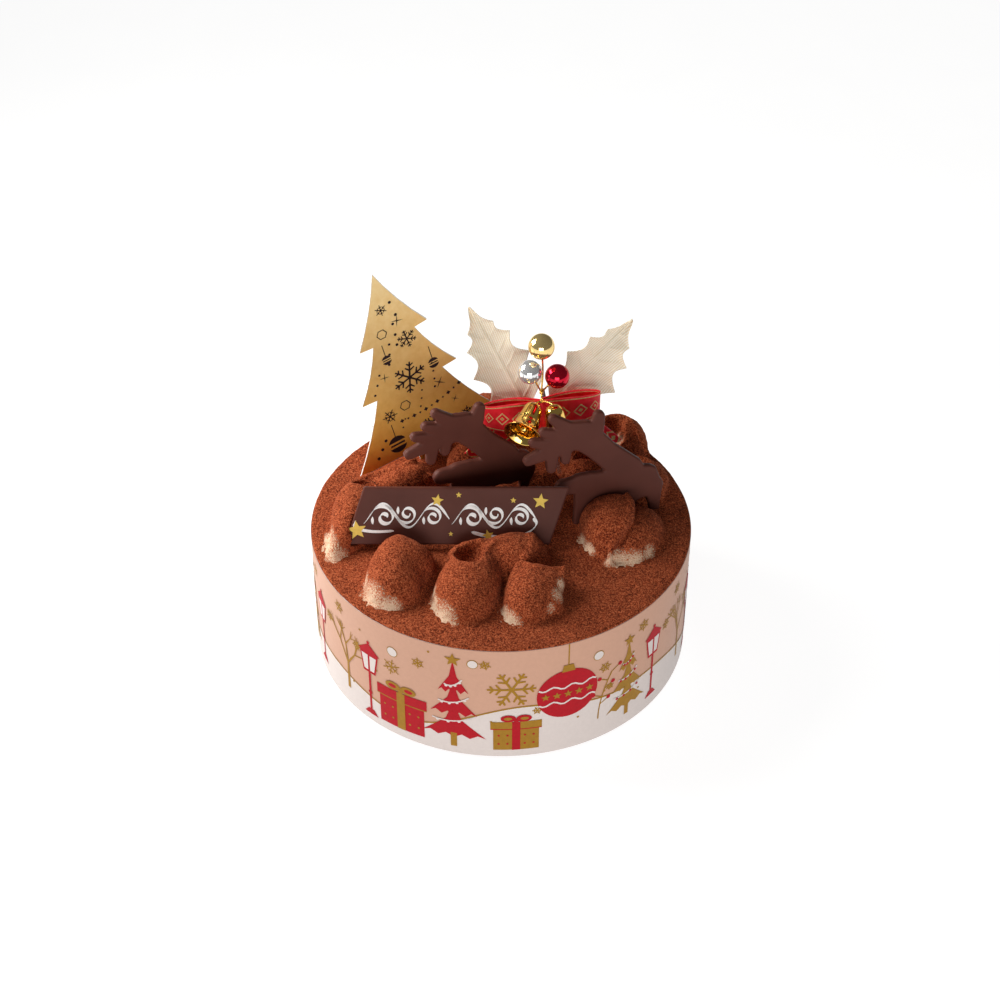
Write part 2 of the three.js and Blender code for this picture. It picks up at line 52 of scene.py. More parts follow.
# %% [markdown]
# ## The camera
# A product photographer stands back and looks down at about forty degrees. A long lens keeps the
# round cake from bulging. Here the lens and the place are numbers, because a camera is easier to
# compare with a photograph when it isn't nudged by hand.

# %% Camera
EYE = Vector((-0.31, -468.6, 435.6))
AIM = Vector((-0.31, 0.0, 53.02))
camera = bpy.data.objects.new("camera", bpy.data.cameras.new("camera"))
bpy.context.scene.collection.objects.link(camera)
camera.location = EYE * MM
camera.rotation_euler = (AIM - EYE).to_track_quat("-Z", "Y").to_euler()
camera.data.lens = 69.42
camera.data.sensor_width = 36.0
camera.data.clip_start = 0.02
bpy.context.scene.camera = camera
print("camera stands", round((EYE - AIM).length), "mm from the cake")

# %% [markdown]
# ## Helpers for meshes
# Every piece is lists of corners and faces worked out by numpy, which is quick and exact, and the
# same few lines turn them into an object that rides on the cake.

# %% From corners and faces to a piece
def make_piece(name, corners, faces, materials, slot, replaces=(), smooth=True, material_index=None):
    mesh = bpy.data.meshes.new(name)
    mesh.from_pydata((np.asarray(corners, dtype=float) * MM).tolist(), [], [list(map(int, f)) for f in faces])
    for material in materials if isinstance(materials, (list, tuple)) else [materials]:
        mesh.materials.append(material)
    if material_index is not None:
        mesh.polygons.foreach_set("material_index", np.asarray(material_index, dtype=np.int32))
    mesh.polygons.foreach_set("use_smooth", np.full(len(mesh.polygons), smooth))
    mesh.update()
    piece = bpy.data.objects.new(name, mesh)
    bpy.context.scene.collection.objects.link(piece)
    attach(piece, "root")
    if replaces:
        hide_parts(*replaces)
    print(f"{name}: {len(mesh.vertices)} corners, {len(mesh.polygons)} faces")
    return piece


def add_attribute(piece, name, values):
    layer = piece.data.attributes.new(name, "FLOAT", "POINT")
    layer.data.foreach_set("value", np.asarray(values, dtype=np.float32))


def standing(at, yaw=0.0, lean=0.0, roll=0.0):
    """Local x runs along an upright thing, y up it and z out of its front face."""
    turn = Matrix.Rotation(math.radians(yaw), 4, "Z") @ Matrix.Rotation(math.radians(90 - lean), 4, "X")
    return np.array(Matrix.Translation(at) @ turn @ Matrix.Rotation(math.radians(roll), 4, "Z"))


def moved(matrix, points):
    points = np.asarray(points, dtype=float)
    return points @ matrix[:3, :3].T + matrix[:3, 3]


def round_points(sides, start=0.0):
    """Angles evenly spaced round a circle."""
    return start + np.arange(sides) * math.tau / sides


def net(rows, columns, wrap=False, loop=False):
    """Quads of a net of points; wrap closes each row, and loop joins the last row to the first."""
    return [
        (i * columns + j, i * columns + (j + 1) % columns,
         (i + 1) % rows * columns + (j + 1) % columns, (i + 1) % rows * columns + j)
        for i in range(rows - (not loop)) for j in range(columns - (not wrap))
    ]


def turned_over(faces, start=0):
    return [(start + a, start + d, start + c, start + b) for a, b, c, d in faces]


# %% Smooth noise, for anything that is uneven
def lumps(points, size, seed):
    """Noise from -1 to 1 whose lumps are about size millimetres across."""
    scaled = np.asarray(points, dtype=float) / size + seed * 17.31
    cell = np.floor(scaled).astype(np.int64)
    part = scaled - cell
    part = part * part * (3 - 2 * part)
    total = np.zeros(len(scaled))
    for corner in np.ndindex(2, 2, 2):
        key = cell + corner
        mixed = (key[:, 0] * 73856093) ^ (key[:, 1] * 19349663) ^ (key[:, 2] * 83492791)
        mixed = ((mixed & 0xFFFFFFFF) * 2654435761) & 0xFFFFFFFF
        value = ((mixed >> 8) & 0xFFFF) / 32767.5 - 1
        weight = np.prod(np.where(np.array(corner), part, 1 - part), axis=1)
        total += value * weight
    return total


# %% [markdown]
# ## A skin over a field
# Whipped cream and moulded chocolate have soft, melted shapes that flow into each other. They are
# easiest to describe as a field: a number for each point in space, negative inside. Rounded forms
# are joined and scooped with soft minimums, and the skin is then laid where the field is zero.
# Boolean cuts on meshes would leave hard creases, which cream doesn't have.

# %% The skin of a field
def skin(field, low, step):
    """Corners and quads of the surface where a sampled field is zero."""
    count = np.zeros([n - 1 for n in field.shape])
    total = np.zeros(list(count.shape) + [3])
    crossings = []
    for axis in range(3):
        near = np.take(field, range(field.shape[axis] - 1), axis)
        far = np.take(field, range(1, field.shape[axis]), axis)
        where = np.argwhere((near < 0) != (far < 0))
        index = tuple(where.T)
        point = where.astype(float)
        point[:, axis] += near[index] / (near[index] - far[index])
        others = [a for a in range(3) if a != axis]
        inner = (where[:, others] > 0) & (where[:, others] < np.array(field.shape)[others] - 1)
        keep = inner.all(axis=1)
        crossings.append((axis, others, where[keep], near[index][keep] < 0))
        for back in np.ndindex(2, 2):
            cell = where.copy()
            cell[:, others] -= back
            ok = np.all((cell >= 0) & (cell < count.shape), axis=1)
            np.add.at(total, tuple(cell[ok].T), point[ok])
            np.add.at(count, tuple(cell[ok].T), 1)
    used = count > 0
    number = np.full(count.shape, -1)
    number[used] = np.arange(used.sum())
    corners = total[used] / count[used][:, None] * step + low
    quads = []
    for axis, others, where, outward in crossings:
        ring = []
        for back in ((0, 0), (1, 0), (1, 1), (0, 1)):
            cell = where.copy()
            cell[:, others] -= back
            ring.append(number[tuple(cell.T)])
        ring = np.array(ring).T
        flip = outward if axis == 1 else ~outward
        ring[~flip] = ring[~flip][:, ::-1]
        quads.append(ring)
    return corners, np.concatenate(quads)


def grid_points(low, high, step):
    low = np.asarray(low, dtype=float)
    shape = [int(math.ceil((b - a) / step)) + 1 for a, b in zip(low, high)]
    axes = [a + step * np.arange(n) for a, n in zip(low, shape)]
    return np.stack(np.meshgrid(*axes, indexing="ij"), axis=-1), low


def soft_min(a, b, blend):
    if blend <= 0:
        return np.minimum(a, b)
    share = np.clip(0.5 + 0.5 * (b - a) / blend, 0, 1)
    return b + (a - b) * share - blend * share * (1 - share)


def soft_max(a, b, blend):
    return -soft_min(-a, -b, blend)


# %% [markdown]
# ## Finishes
# Each finish is built from nodes, so it has no picture behind it and stays sharp at any distance.
# One small helper adds a node, sets its values and joins its inputs, which keeps each finish to a
# few readable lines.

# %% A helper for node trees
def finish_named(name):
    material = bpy.data.materials.new(name)
    material.use_nodes = True
    return material, material.node_tree, material.node_tree.nodes["Principled BSDF"]


def node(tree, kind, inputs=None, **settings):
    new = tree.nodes.new(kind)
    for key, value in settings.items():
        setattr(new, key, value)
    for key, value in (inputs or {}).items():
        if isinstance(value, bpy.types.NodeSocket):
            tree.links.new(value, new.inputs[key])
        else:
            new.inputs[key].default_value = value
    return new


def ramp(tree, value, stops):
    """A colour for each value from 0 to 1; stops are (place, colour)."""
    new = node(tree, "ShaderNodeValToRGB", {"Fac": value})
    stops = list(stops)
    while len(new.color_ramp.elements) < len(stops):
        new.color_ramp.elements.new(0.5)
    for element, (place, colour) in zip(new.color_ramp.elements, stops):
        element.position = place
        element.color = (*colour, 1.0)
    return new.outputs["Color"]


def place_of(tree):
    return node(tree, "ShaderNodeTexCoord").outputs["Object"]


def noise(tree, across_mm, detail=2.0, grit=0.5):
    """Noise with features about this many millimetres across."""
    values = {"Vector": place_of(tree), "Scale": 1000.0 / across_mm, "Detail": detail, "Roughness": grit}
    return node(tree, "ShaderNodeTexNoise", values).outputs["Fac"]


def mix_colour(tree, share, first, second):
    new = node(tree, "ShaderNodeMix", data_type="RGBA")
    for index, value in ((0, share), (6, first), (7, second)):
        tree.links.new(value, new.inputs[index])
    return new.outputs[2]


def calc(tree, operation, *values):
    return node(tree, "ShaderNodeMath", dict(enumerate(values)), operation=operation).outputs[0]


def weighted(tree, *terms):
    """The sum of (value, weight) pairs."""
    total = 0.0
    for value, weight in terms:
        total = calc(tree, "MULTIPLY_ADD", value, weight, total)
    return total


def away_from(tree, value, middle):
    return calc(tree, "ABSOLUTE", calc(tree, "SUBTRACT", value, middle))


def between(tree, value, low, high):
    return node(tree, "ShaderNodeMapRange", {"Value": value, "From Min": low, "From Max": high}).outputs[0]


def dress(tree, shader, colour, height=None, depth_mm=0.0, strength=1.0, **values):
    """Joins colour and relief to the shader and sets its other values."""
    tree.links.new(colour, shader.inputs["Base Color"])
    if height:
        inputs = {"Height": height, "Distance": depth_mm * MM, "Strength": strength}
        relief = node(tree, "ShaderNodeBump", inputs)
        tree.links.new(relief.outputs["Normal"], shader.inputs["Normal"])
    for key, value in values.items():
        shader.inputs[key.replace("_", " ")].default_value = value


def mottled(name, patches, dark, light, relief=None, span=(0.3, 0.7), **values):
    """Two close tones in soft patches; relief is its noise, depth in millimetres and strength."""
    material, tree, shader = finish_named(name)
    colour = ramp(tree, noise(tree, *patches), zip(span, (dark, light)))
    grain, depth_mm, strength = relief or (None, 0.0, 0.0)
    dress(tree, shader, colour, grain and noise(tree, *grain), depth_mm, strength, **values)
    return material


# %% [markdown]
# ### Cocoa over cream
# Cocoa powder is sifted from above and clings as a dry, grainy coat of tiny clumps, some dark and
# some lighter. The tones follow the same grain as the relief, so part of the dark is painted shade in
# the pits and part of the light is painted light on the raised clumps. It misses the undersides, and
# there the cream shows pale with stray specks. Each
# dollop carries a number, cream, that says where the powder missed.

# %% Cocoa and cream
def cocoa_finish():
    material, tree, shader = finish_named("cocoa powder on cream")
    fine = noise(tree, 0.68, 3.0, 0.66)
    specks = noise(tree, 0.34, 1.0, 0.5)
    broad = noise(tree, 7.0, 2.0, 0.5)
    grain = calc(tree, "SUBTRACT", weighted(tree, (fine, 0.55), (specks, 0.45), (broad, 0.10)), 0.05)
    # The colour follows the grain that also makes the bump. The darkest stops are painted shade in the pits
    # between clumps, and the lightest are painted light on their tops, over the powder's own mottling.
    powder = ramp(tree, grain, [
        (0.36, (0.070, 0.011, 0.004)),
        (0.45, (0.205, 0.036, 0.012)),
        (0.52, (0.340, 0.066, 0.023)),
        (0.61, (0.520, 0.136, 0.054)),
    ])
    cream = ramp(tree, fine, [(0.3, (0.66, 0.44, 0.28)), (0.7, (0.93, 0.73, 0.55))])
    bare = node(tree, "ShaderNodeAttribute", attribute_name="cream").outputs["Fac"]
    loose = calc(tree, "MINIMUM", calc(tree, "MULTIPLY", bare, 12.0), 3.4)
    ragged = calc(tree, "MULTIPLY_ADD", calc(tree, "SUBTRACT", 0.5, grain), loose, bare)
    colour = mix_colour(tree, between(tree, ragged, 0.30, 0.85), powder, cream)
    dress(
        tree, shader, colour, grain, 0.6, 0.8, Roughness=0.95, Specular_IOR_Level=0.06,
        Sheen_Weight=0.05, Sheen_Roughness=0.6, Sheen_Tint=(1.0, 0.62, 0.42, 1.0),
    )
    return material


COCOA = cocoa_finish()

# %% [markdown]
# ### Chocolate, paper, card and cloth
# Moulded chocolate has a soft satin skin. The paper band is coated and printed with flat inks and
# gold. The card tree is gold foil laminated on board, and the holly leaves are stiffened cloth.

# %% Chocolate and inks
CHOCOLATE = mottled(
    "moulded dark chocolate", (14.0, 3.0, 0.55), (0.092, 0.027, 0.019), (0.112, 0.034, 0.024),
    ((5.0,), 0.10, 0.25), Roughness=0.5, Specular_IOR_Level=0.14,
)


def ink(name, colour, roughness=0.45, speckle=0.04):
    dark, light = ([min(c * (1 + tone), 1.0) for c in colour] for tone in (-2 * speckle, 2 * speckle))
    return mottled(
        name, (1.2, 3.0, 0.6), dark, light, ((0.5,), 0.02, 0.15), Roughness=roughness, Specular_IOR_Level=0.14
    )


PAPER_SKY = ink("peach ink on paper", (0.56, 0.32, 0.225), speckle=0.012)
PAPER_WHITE = ink("white paper", (0.66, 0.585, 0.555), speckle=0.012)
INK_RED = ink("red ink", (0.40, 0.002, 0.010), 0.55)
INK_GOLD = ink("gold ink", (0.33, 0.165, 0.012), 0.5)
INK_BROWN = ink("dark brown ink", (0.030, 0.018, 0.020), 0.5)
ICING_WHITE = ink("white cocoa butter print", (0.97, 0.95, 0.93), 0.4)
ICING_YELLOW = ink("yellow cocoa butter print", (0.80, 0.55, 0.10), 0.4)
CARD_EDGE = ink("white card edge", (0.80, 0.78, 0.75), 0.7)


# %% Gold card, paler towards its top by a painted reflection
def card_finish():
    material, tree, shader = finish_named("gold foil card")
    brushed = noise(tree, 2.5, 4.0, 0.6)
    foil_tone_below_reflection = ramp(tree, brushed, [(0.3, (0.86, 0.44, 0.065)), (0.7, (0.96, 0.54, 0.10))])
    painted_reflection_tone = ramp(tree, brushed, [(0.3, (0.92, 0.66, 0.29)), (0.7, (0.98, 0.75, 0.38))])
    # Painted reflection: by height, the foil is mixed from its deep tone low down to a pale tone high up.
    # This stands in for a reflection in the foil, not a change in the foil itself.
    height = node(tree, "ShaderNodeSeparateXYZ", {"Vector": place_of(tree)}).outputs["Z"]
    colour = mix_colour(tree, between(tree, height, 0.055, 0.115), foil_tone_below_reflection, painted_reflection_tone)
    dress(tree, shader, colour, noise(tree, 0.4, 3.0, 0.6), 0.03, 0.35, Roughness=0.42, Metallic=0.25)
    return material


CARD_GOLD = card_finish()


# %% Woven cloth
def woven(tree):
    """Where the threads run: the piece's own UV map, in millimetres."""
    return node(tree, "ShaderNodeUVMap", uv_map="weave").outputs["UV"]


def cloth_finish():
    material, tree, shader = finish_named("stiffened leaf cloth")
    slant, threads_mm = math.radians(6), 0.66
    turned = node(tree, "ShaderNodeMapping", {"Vector": woven(tree), "Rotation": (0, 0, slant)}).outputs[0]
    values = {"Vector": turned, "Scale": math.pi / 10 / threads_mm, "Distortion": 0.4, "Detail": 1.0}
    weft, warp = (node(tree, "ShaderNodeTexWave", values, bands_direction=way).outputs["Fac"] for way in "XY")
    threads = weighted(tree, (weft, 0.8), (warp, 0.2))
    tone = weighted(tree, (threads, 0.7), (noise(tree, 3.0), 0.3))
    colour = ramp(tree, tone, [(0.25, (0.84, 0.69, 0.49)), (0.8, (0.99, 0.96, 0.84))])
    dress(tree, shader, colour, threads, 0.08, 0.6, Roughness=0.6, Sheen_Weight=0.1)
    return material


LEAF_CLOTH = cloth_finish()


# %% Red satin with a woven gold border
def satin_finish():
    """Border and diamonds are drawn in the millimetres of the ribbon's UV map, so they follow each fold."""
    material, tree, shader = finish_named("red satin ribbon")
    axes = node(tree, "ShaderNodeSeparateXYZ", {"Vector": woven(tree)}).outputs
    aside = away_from(tree, axes["Y"], 7.5)
    diamond = weighted(tree, (calc(tree, "PINGPONG", axes["X"], 3.0), 1.1), (aside, 0.8))
    gilt = calc(tree, "LESS_THAN", diamond, 0.9)
    for value, middle, half_width in ((diamond, 2.5, 0.34), (aside, 6.5, 0.28)):
        line = calc(tree, "LESS_THAN", away_from(tree, value, middle), half_width)
        gilt = calc(tree, "MAXIMUM", gilt, line)
    red = ramp(tree, noise(tree, 2.0), [(0.3, (0.80, 0.010, 0.022)), (0.7, (0.99, 0.030, 0.050))])
    gold = ramp(tree, noise(tree, 0.8), [(0.3, (0.62, 0.36, 0.12)), (0.7, (0.92, 0.66, 0.34))])
    colour = mix_colour(tree, gilt, red, gold)
    dress(tree, shader, colour, gilt, 0.1, 0.08, Roughness=0.36, Specular_IOR_Level=0.35)
    return material


RIBBON_SATIN = satin_finish()


# %% Plated metal, lacquer and clear plastic
def plated(name, colour, roughness=0.10, metallic=0.85):
    return mottled(
        name, (3.0,), [c * 0.93 for c in colour], colour, ((4.0, 1.0), 0.01, 0.1), (0.35, 0.65),
        Roughness=roughness, Metallic=metallic,
    )


GOLD = plated("polished gold plating", (0.95, 0.62, 0.16), metallic=1.0)
PALE_GOLD = plated("pale gold plating", (1.0, 0.74, 0.31))
SILVER = plated("polished silver plating", (0.97, 0.97, 0.98), 0.08, 0.75)
RED_LACQUER = plated("red metallic lacquer", (0.62, 0.008, 0.030))
CLEAR = mottled(
    "clear plastic", (2.0,), (0.84, 0.86, 0.85), (0.95, 0.96, 0.95),
    Roughness=0.08, Transmission_Weight=0.85, IOR=1.46,
)
print("finishes:", len(bpy.data.materials))

# %% [markdown]
# ## The cake under the powder
# The body is a low cylinder with a soft top edge. Only its top and a thin line under the band show,
# so the top gets a close grid whose points are lifted by noise: the tiny clumps of sifted cocoa
# make the rim crumbly in outline too, which a bump in the finish alone can't do.

# %% Grain of the powder, the same everywhere so that neighbours meet
def powder_grain(points):
    return 0.15 * lumps(points, 0.95, 1) + 0.12 * lumps(points, 2.1, 2) + 0.14 * lumps(points, 9.0, 3)


# %% Cake body
def disc_grid(radius, step):
    """Rings of points, evenly spaced, from the middle out."""
    rings = int(radius / step)
    corners, faces, starts, counts = [(0.0, 0.0, 0.0)], [], [0], [1]
    for ring in range(1, rings + 1):
        r = radius * ring / rings
        count = 6 * max(8, 2 ** int(math.ceil(math.log2(max(ring, 1)))))
        starts.append(len(corners))
        counts.append(count)
        corners += [(r * math.cos(t), r * math.sin(t), 0.0) for t in round_points(count)]
    for ring in range(1, rings + 1):
        inner, outer = counts[ring - 1], counts[ring]
        a, b = starts[ring - 1], starts[ring]
        for i in range(outer):
            j = (i + 1) % outer
            k = i * inner // outer
            near = (a + k, a + (k + 1) % inner)
            if inner == 1 or (inner != outer and i * inner % outer == 0):
                near = near[:1]
            faces.append((near[0], b + i, b + j) + near[1:])
    return np.array(corners), faces, starts[-1], counts[-1]


def make_cake_body():
    radius, wall_radius, round_off = BAND_RADIUS - 0.1, BAND_RADIUS - 0.7, 0.8
    corners, faces, rim_start, rim_count = disc_grid(radius + 0.57 * round_off, 0.48)
    flat = np.hypot(corners[:, 0], corners[:, 1])
    past = np.clip(flat - (radius - round_off), 0, None)
    turn = np.minimum(past / round_off, math.pi / 2)
    reach = np.where(past > 0, radius - round_off + round_off * np.sin(turn), flat)
    drop = round_off * (1 - np.cos(turn))
    direction = corners[:, :2] / np.maximum(flat, 1e-9)[:, None]
    shaped = np.column_stack([direction * reach[:, None], CAKE_HEIGHT - drop])
    outward = np.column_stack([direction * np.sin(turn)[:, None], np.cos(turn)])
    rim = shaped[rim_start:].copy()
    shaped += outward * (powder_grain(shaped) * (1 - 0.75 * turn / (math.pi / 2)))[:, None]
    wall = []
    for height, inset in ((CAKE_HEIGHT - round_off - 0.02, 0.0), (20.0, 0.0), (1.0, 0.0), (0.0, 0.4)):
        ring = rim * ((wall_radius - inset) / np.hypot(rim[:, 0], rim[:, 1]))[:, None]
        ring[:, 2] = height
        wall.append(ring)
    faces += turned_over(net(len(wall) + 1, rim_count, wrap=True), rim_start)
    base = rim_start + len(wall) * rim_count
    faces.append(tuple(range(base + rim_count - 1, base - 1, -1)))
    return make_piece("cocoa_cake", np.concatenate([shaped, *wall]), faces, COCOA, "cocoa", ["cake_body"])


cake_piece = make_cake_body()
add_attribute(cake_piece, "cream", np.zeros(len(cake_piece.data.vertices)))

# %% [markdown]
# ## The paper band
# A strip of coated paper runs round the cake. Its print is laid on as thin shapes of ink: they are
# drawn flat, in millimetres along and up the strip, cut into narrow strips and then wrapped, so that
# long shapes follow the curve. Painting them by nodes would need hundreds of nodes, and a picture
# isn't wanted here.

# %% A flat drawing
def circle(x, y, radius, turns, squash=1.0):
    """Points round (x, y) at the given angles; radius may be one number or one per angle."""
    return np.column_stack([x + radius * np.cos(turns), y + squash * radius * np.sin(turns)])


class Drawing:
    """Flat shapes, each with an ink and a layer, that can be laid on any surface later."""

    def __init__(self):
        self.shapes = []

    def polygon(self, tint, layer, points):
        self.shapes.append((tint, layer, [[tuple(p) for p in points]]))

    def disc(self, tint, layer, x, y, radius, sides=28, squash=1.0):
        self.polygon(tint, layer, circle(x, y, radius, round_points(sides), squash))

    def slab(self, tint, layer, x, y, low_half, high_half, tall):
        """Four corners over (x, y), that far to each side at the foot and at the top."""
        top = y + tall
        ends = [(x - low_half, y), (x + low_half, y), (x + high_half, top), (x - high_half, top)]
        self.polygon(tint, layer, ends)

    def stroke(self, tint, layer, points, widths):
        """A brush stroke: a row of quads whose width changes along the way."""
        points = np.array(points, dtype=float)
        widths = np.broadcast_to(np.asarray(widths, dtype=float), len(points))
        heading = np.gradient(points, axis=0)
        heading /= np.linalg.norm(heading, axis=1, keepdims=True) + 1e-9
        side = np.column_stack([-heading[:, 1], heading[:, 0]]) * widths[:, None] / 2
        left, right = points + side, points - side
        quads = zip(left[:-1], right[:-1], right[1:], left[1:])
        self.shapes.append((tint, layer, [[tuple(p) for p in quad] for quad in quads]))

    def line(self, tint, layer, start, end, width, end_width=None):
        self.stroke(tint, layer, [start, end], [width, width if end_width is None else end_width])

    def star(self, tint, layer, x, y, radius, points=5, inner=0.42, turn=0.0):
        turns = round_points(2 * points, math.radians(90 + turn))
        reach = radius * np.where(np.arange(2 * points) % 2 == 0, 1.0, inner)
        self.polygon(tint, layer, circle(x, y, reach, turns))

    def snowflake(self, tint, layer, x, y, radius, width, twigs=2, turn=0.0):
        centre = np.array([x, y])
        for arm in range(6):
            t = math.radians(turn + 60 * arm)
            out = np.array([math.cos(t), math.sin(t)])
            self.line(tint, layer, centre, centre + out * radius, width, width * 0.8)
            for twig in range(twigs):
                root = centre + out * radius * (0.45 + 0.30 * twig)
                for lean in (-1, 1):
                    u = t + lean * math.radians(55)
                    tip = root + np.array([math.cos(u), math.sin(u)]) * radius * (0.34 - 0.10 * twig)
                    self.line(tint, layer, root, tip, width * 0.9, width * 0.7)

    def piece(self, name, inks, slot, lay, slice_mm=None):
        """lay(x, y, layer) turns flat points into places in space."""
        work = bmesh.new()
        level = work.faces.layers.int.new("level")
        for tint, layer, polygons in self.shapes:
            for polygon in polygons:
                area = sum(a[0] * b[1] - b[0] * a[1] for a, b in zip(polygon, polygon[1:] + polygon[:1]))
                ring = polygon if area > 0 else polygon[::-1]
                if abs(area) < 1e-7:
                    continue
                face = work.faces.new([work.verts.new((x, y, 0)) for x, y in ring])
                face.material_index = tint
                face[level] = layer
        work.normal_update()
        bmesh.ops.triangulate(work, faces=[f for f in work.faces if len(f.verts) > 4], ngon_method="EAR_CLIP")
        if slice_mm:
            xs = [v.co.x for v in work.verts]
            for k in range(int(min(xs) // slice_mm) + 1, int(max(xs) // slice_mm) + 1):
                cut = k * slice_mm
                near = [f for f in work.faces
                        if min(v.co.x for v in f.verts) < cut < max(v.co.x for v in f.verts)]
                parts = list({e for f in near for e in f.edges} | {v for f in near for v in f.verts}) + near
                if near:
                    bmesh.ops.bisect_plane(work, geom=parts, plane_co=(cut, 0, 0), plane_no=(1, 0, 0))
        corners, faces, index = [], [], []
        for face in work.faces:
            faces.append(tuple(range(len(corners), len(corners) + len(face.verts))))
            corners += [lay(v.co.x, v.co.y, face[level]) for v in face.verts]
            index.append(face.material_index)
        work.free()
        return make_piece(name, corners, faces, inks, slot, material_index=index)


# %% Wrapping a drawing round the cake
BAND_REACH = math.pi * BAND_RADIUS
BAND_LOW, BAND_HIGH = 0.6, 44.6
BAND_INKS = [PAPER_SKY, PAPER_WHITE, INK_RED, INK_GOLD]
SKY, SNOW, RED, OCHRE = range(4)


def round_the_cake(x, y, layer):
    turn = -math.pi / 2 + x / BAND_RADIUS
    radius = BAND_RADIUS + 0.03 * layer
    return (radius * math.cos(turn), radius * math.sin(turn), y)


def make_band_paper():
    """The strip itself, closed round the cake, with an eased upper rim."""
    sides, thick = 240, 0.4
    profile = [
        (0.0, BAND_LOW), (0.0, BAND_HIGH - 0.15), (-0.12, BAND_HIGH), (-thick, BAND_HIGH), (-thick, BAND_LOW)
    ]
    corners = [
        ((BAND_RADIUS - 0.05 + out) * math.cos(turn), (BAND_RADIUS - 0.05 + out) * math.sin(turn), z)
        for turn in round_points(sides, math.pi / 2) for out, z in profile
    ]
    faces = turned_over(net(sides, len(profile), wrap=True, loop=True))
    make_piece("band_paper", corners, faces, PAPER_WHITE, "paper", ["paper_band"])


make_band_paper()


# %% The winter print
def hill(x, phase):
    return 15.5 + 5.2 * math.sin(x / 21.0 + phase) + 2.2 * math.sin(x / 9.3 + 2.1 * phase)


def draw_hills(art):
    xs = np.arange(-BAND_REACH, BAND_REACH + 0.1, 1.5)
    ridge = [hill(x, 0.6) for x in xs]
    for tint, layer, tops in ((SKY, 0, [BAND_HIGH] * len(xs)), (SNOW, 2, ridge)):
        for a, b, p, q in zip(xs[:-1], xs[1:], tops[:-1], tops[1:]):
            art.polygon(tint, layer, [(a, BAND_LOW), (b, BAND_LOW), (b, q), (a, p)])
    art.stroke(OCHRE, 3, np.column_stack([xs, ridge]), 0.55)


def draw_fir(art, x, y, high, wide, tint):
    """A fir of three scalloped tiers with hanging tips, garlands and a star."""
    for tier in range(3):
        base, peak = y + high * (0.12 + 0.26 * tier), y + high * (0.52 + 0.24 * tier)
        half, waist = wide * (0.5 - 0.13 * tier), (base + peak) / 2
        scallops = [(x + half * (k / 4 - 1), base + high * (0.03 if k % 2 else -0.01)) for k in range(1, 8)]
        sides = [(x + half, base), (x + 0.25 * half, waist), (x, peak), (x - 0.25 * half, waist)]
        art.polygon(tint, 5, [(x - half, base), *scallops, *sides])
    art.slab(OCHRE, 5, x, y, 0.05 * wide, 0.05 * wide, 0.16 * high)
    for low, share in ((0.30, 0.34), (0.52, 0.24), (0.72, 0.14)):
        garland = [
            (x + t * share * wide, y + high * (low + 0.035 * t + 0.04 * t * t)) for t in np.linspace(-1, 1, 9)
        ]
        art.stroke(SNOW, 6, garland, 0.5)
        for px, py in garland[1:-1:2]:
            art.disc(SNOW if tint == RED else RED, 7, px, py - 0.3, 0.5, 12)
    art.star(OCHRE, 7, x, y + high * 1.01, 0.075 * high)


def draw_gift(art, x, y, wide, high, tint, ribbon):
    lid, lid_low = wide * 0.56, y + high * 0.74
    art.slab(tint, 5, x, y, wide / 2, wide / 2, high * 0.74)
    art.slab(tint, 6, x, lid_low, lid, lid, high * 0.26)
    art.line(ribbon, 7, (x - lid, lid_low), (x + lid, lid_low), 0.35)
    art.slab(ribbon, 8, x, y, wide * 0.09, wide * 0.09, high)
    for side in (-1, 1):
        art.disc(ribbon, 8, x + side * wide * 0.17, y + high * 1.12, wide * 0.17, 20, 0.6)
        art.disc(tint, 9, x + side * wide * 0.18, y + high * 1.12, wide * 0.09, 14, 0.5)
        for column in (0.19, 0.38):
            for row in (0.22, 0.52):
                art.disc(ribbon, 7, x + side * wide * column, y + high * row, 0.38, 10)
    art.disc(ribbon, 9, x, y + high * 1.04, wide * 0.055, 12)


def draw_lantern(art, x, y, high, tint):
    """A street lantern: foot, post, glass box with bars and a cap."""
    post, glass = y + high * 0.56, high * 0.26
    top = post + glass
    art.slab(tint, 5, x, y, high * 0.09, high * 0.035, high * 0.07)
    art.line(tint, 5, (x, y), (x, post), 0.9)
    art.disc(tint, 6, x, y + high * 0.30, 0.8, 14)
    art.slab(tint, 5, x, post, high * 0.08, high * 0.12, glass)
    for side in (-1, 1):
        pane = [(0.012, 0.12), (0.064, 0.12), (0.096, 0.86), (0.012, 0.86)]
        art.polygon(SNOW, 6, [(x + side * high * px, post + glass * py) for px, py in pane])
    art.polygon(tint, 5, [(x - high * 0.14, top), (x + high * 0.14, top), (x, top + high * 0.12)])
    art.disc(tint, 6, x, top + high * 0.13, 0.6, 12)


def draw_bauble(art, x, y, radius, thread_top):
    art.line(OCHRE, 3, (x, y + radius), (x, thread_top), 0.4)
    art.disc(RED, 5, x, y, radius, 40)
    ts = np.linspace(-1, 1, 17)
    for low in (-0.34, 0.30):
        reach = math.sqrt(1 - low * low) * 0.985
        wave = np.column_stack([x + ts * reach * radius, y + radius * (low + 0.07 * np.sin(ts * 9.42))])
        art.stroke(SNOW, 6, wave, 0.6)
    for k in range(5):
        art.star(OCHRE, 7, x + radius * 0.36 * (k - 2), y - radius * 0.02, radius * 0.15)
    art.slab(OCHRE, 7, x, y + radius * 0.93, 0.22 * radius, 0.16 * radius, radius * 0.27)


def draw_bare_tree(art, x, y, high, seed):
    """A bare gold sapling: a trunk that forks three times."""
    def fork(start, heading, length, width, depth):
        end = start + np.array([math.cos(heading), math.sin(heading)]) * length
        art.line(OCHRE, 4, start, end, width, width * 0.6)
        for k, lean in enumerate((-0.55, 0.08, 0.5) if depth else ()):
            sway = 0.16 * math.sin(seed + 5 * depth + 3 * k)
            fork(end, heading + lean + sway, length * (0.62 + 0.06 * k), width * 0.62, depth - 1)
    fork(np.array([x, y]), math.pi / 2, high * 0.42, high * 0.055, 3)


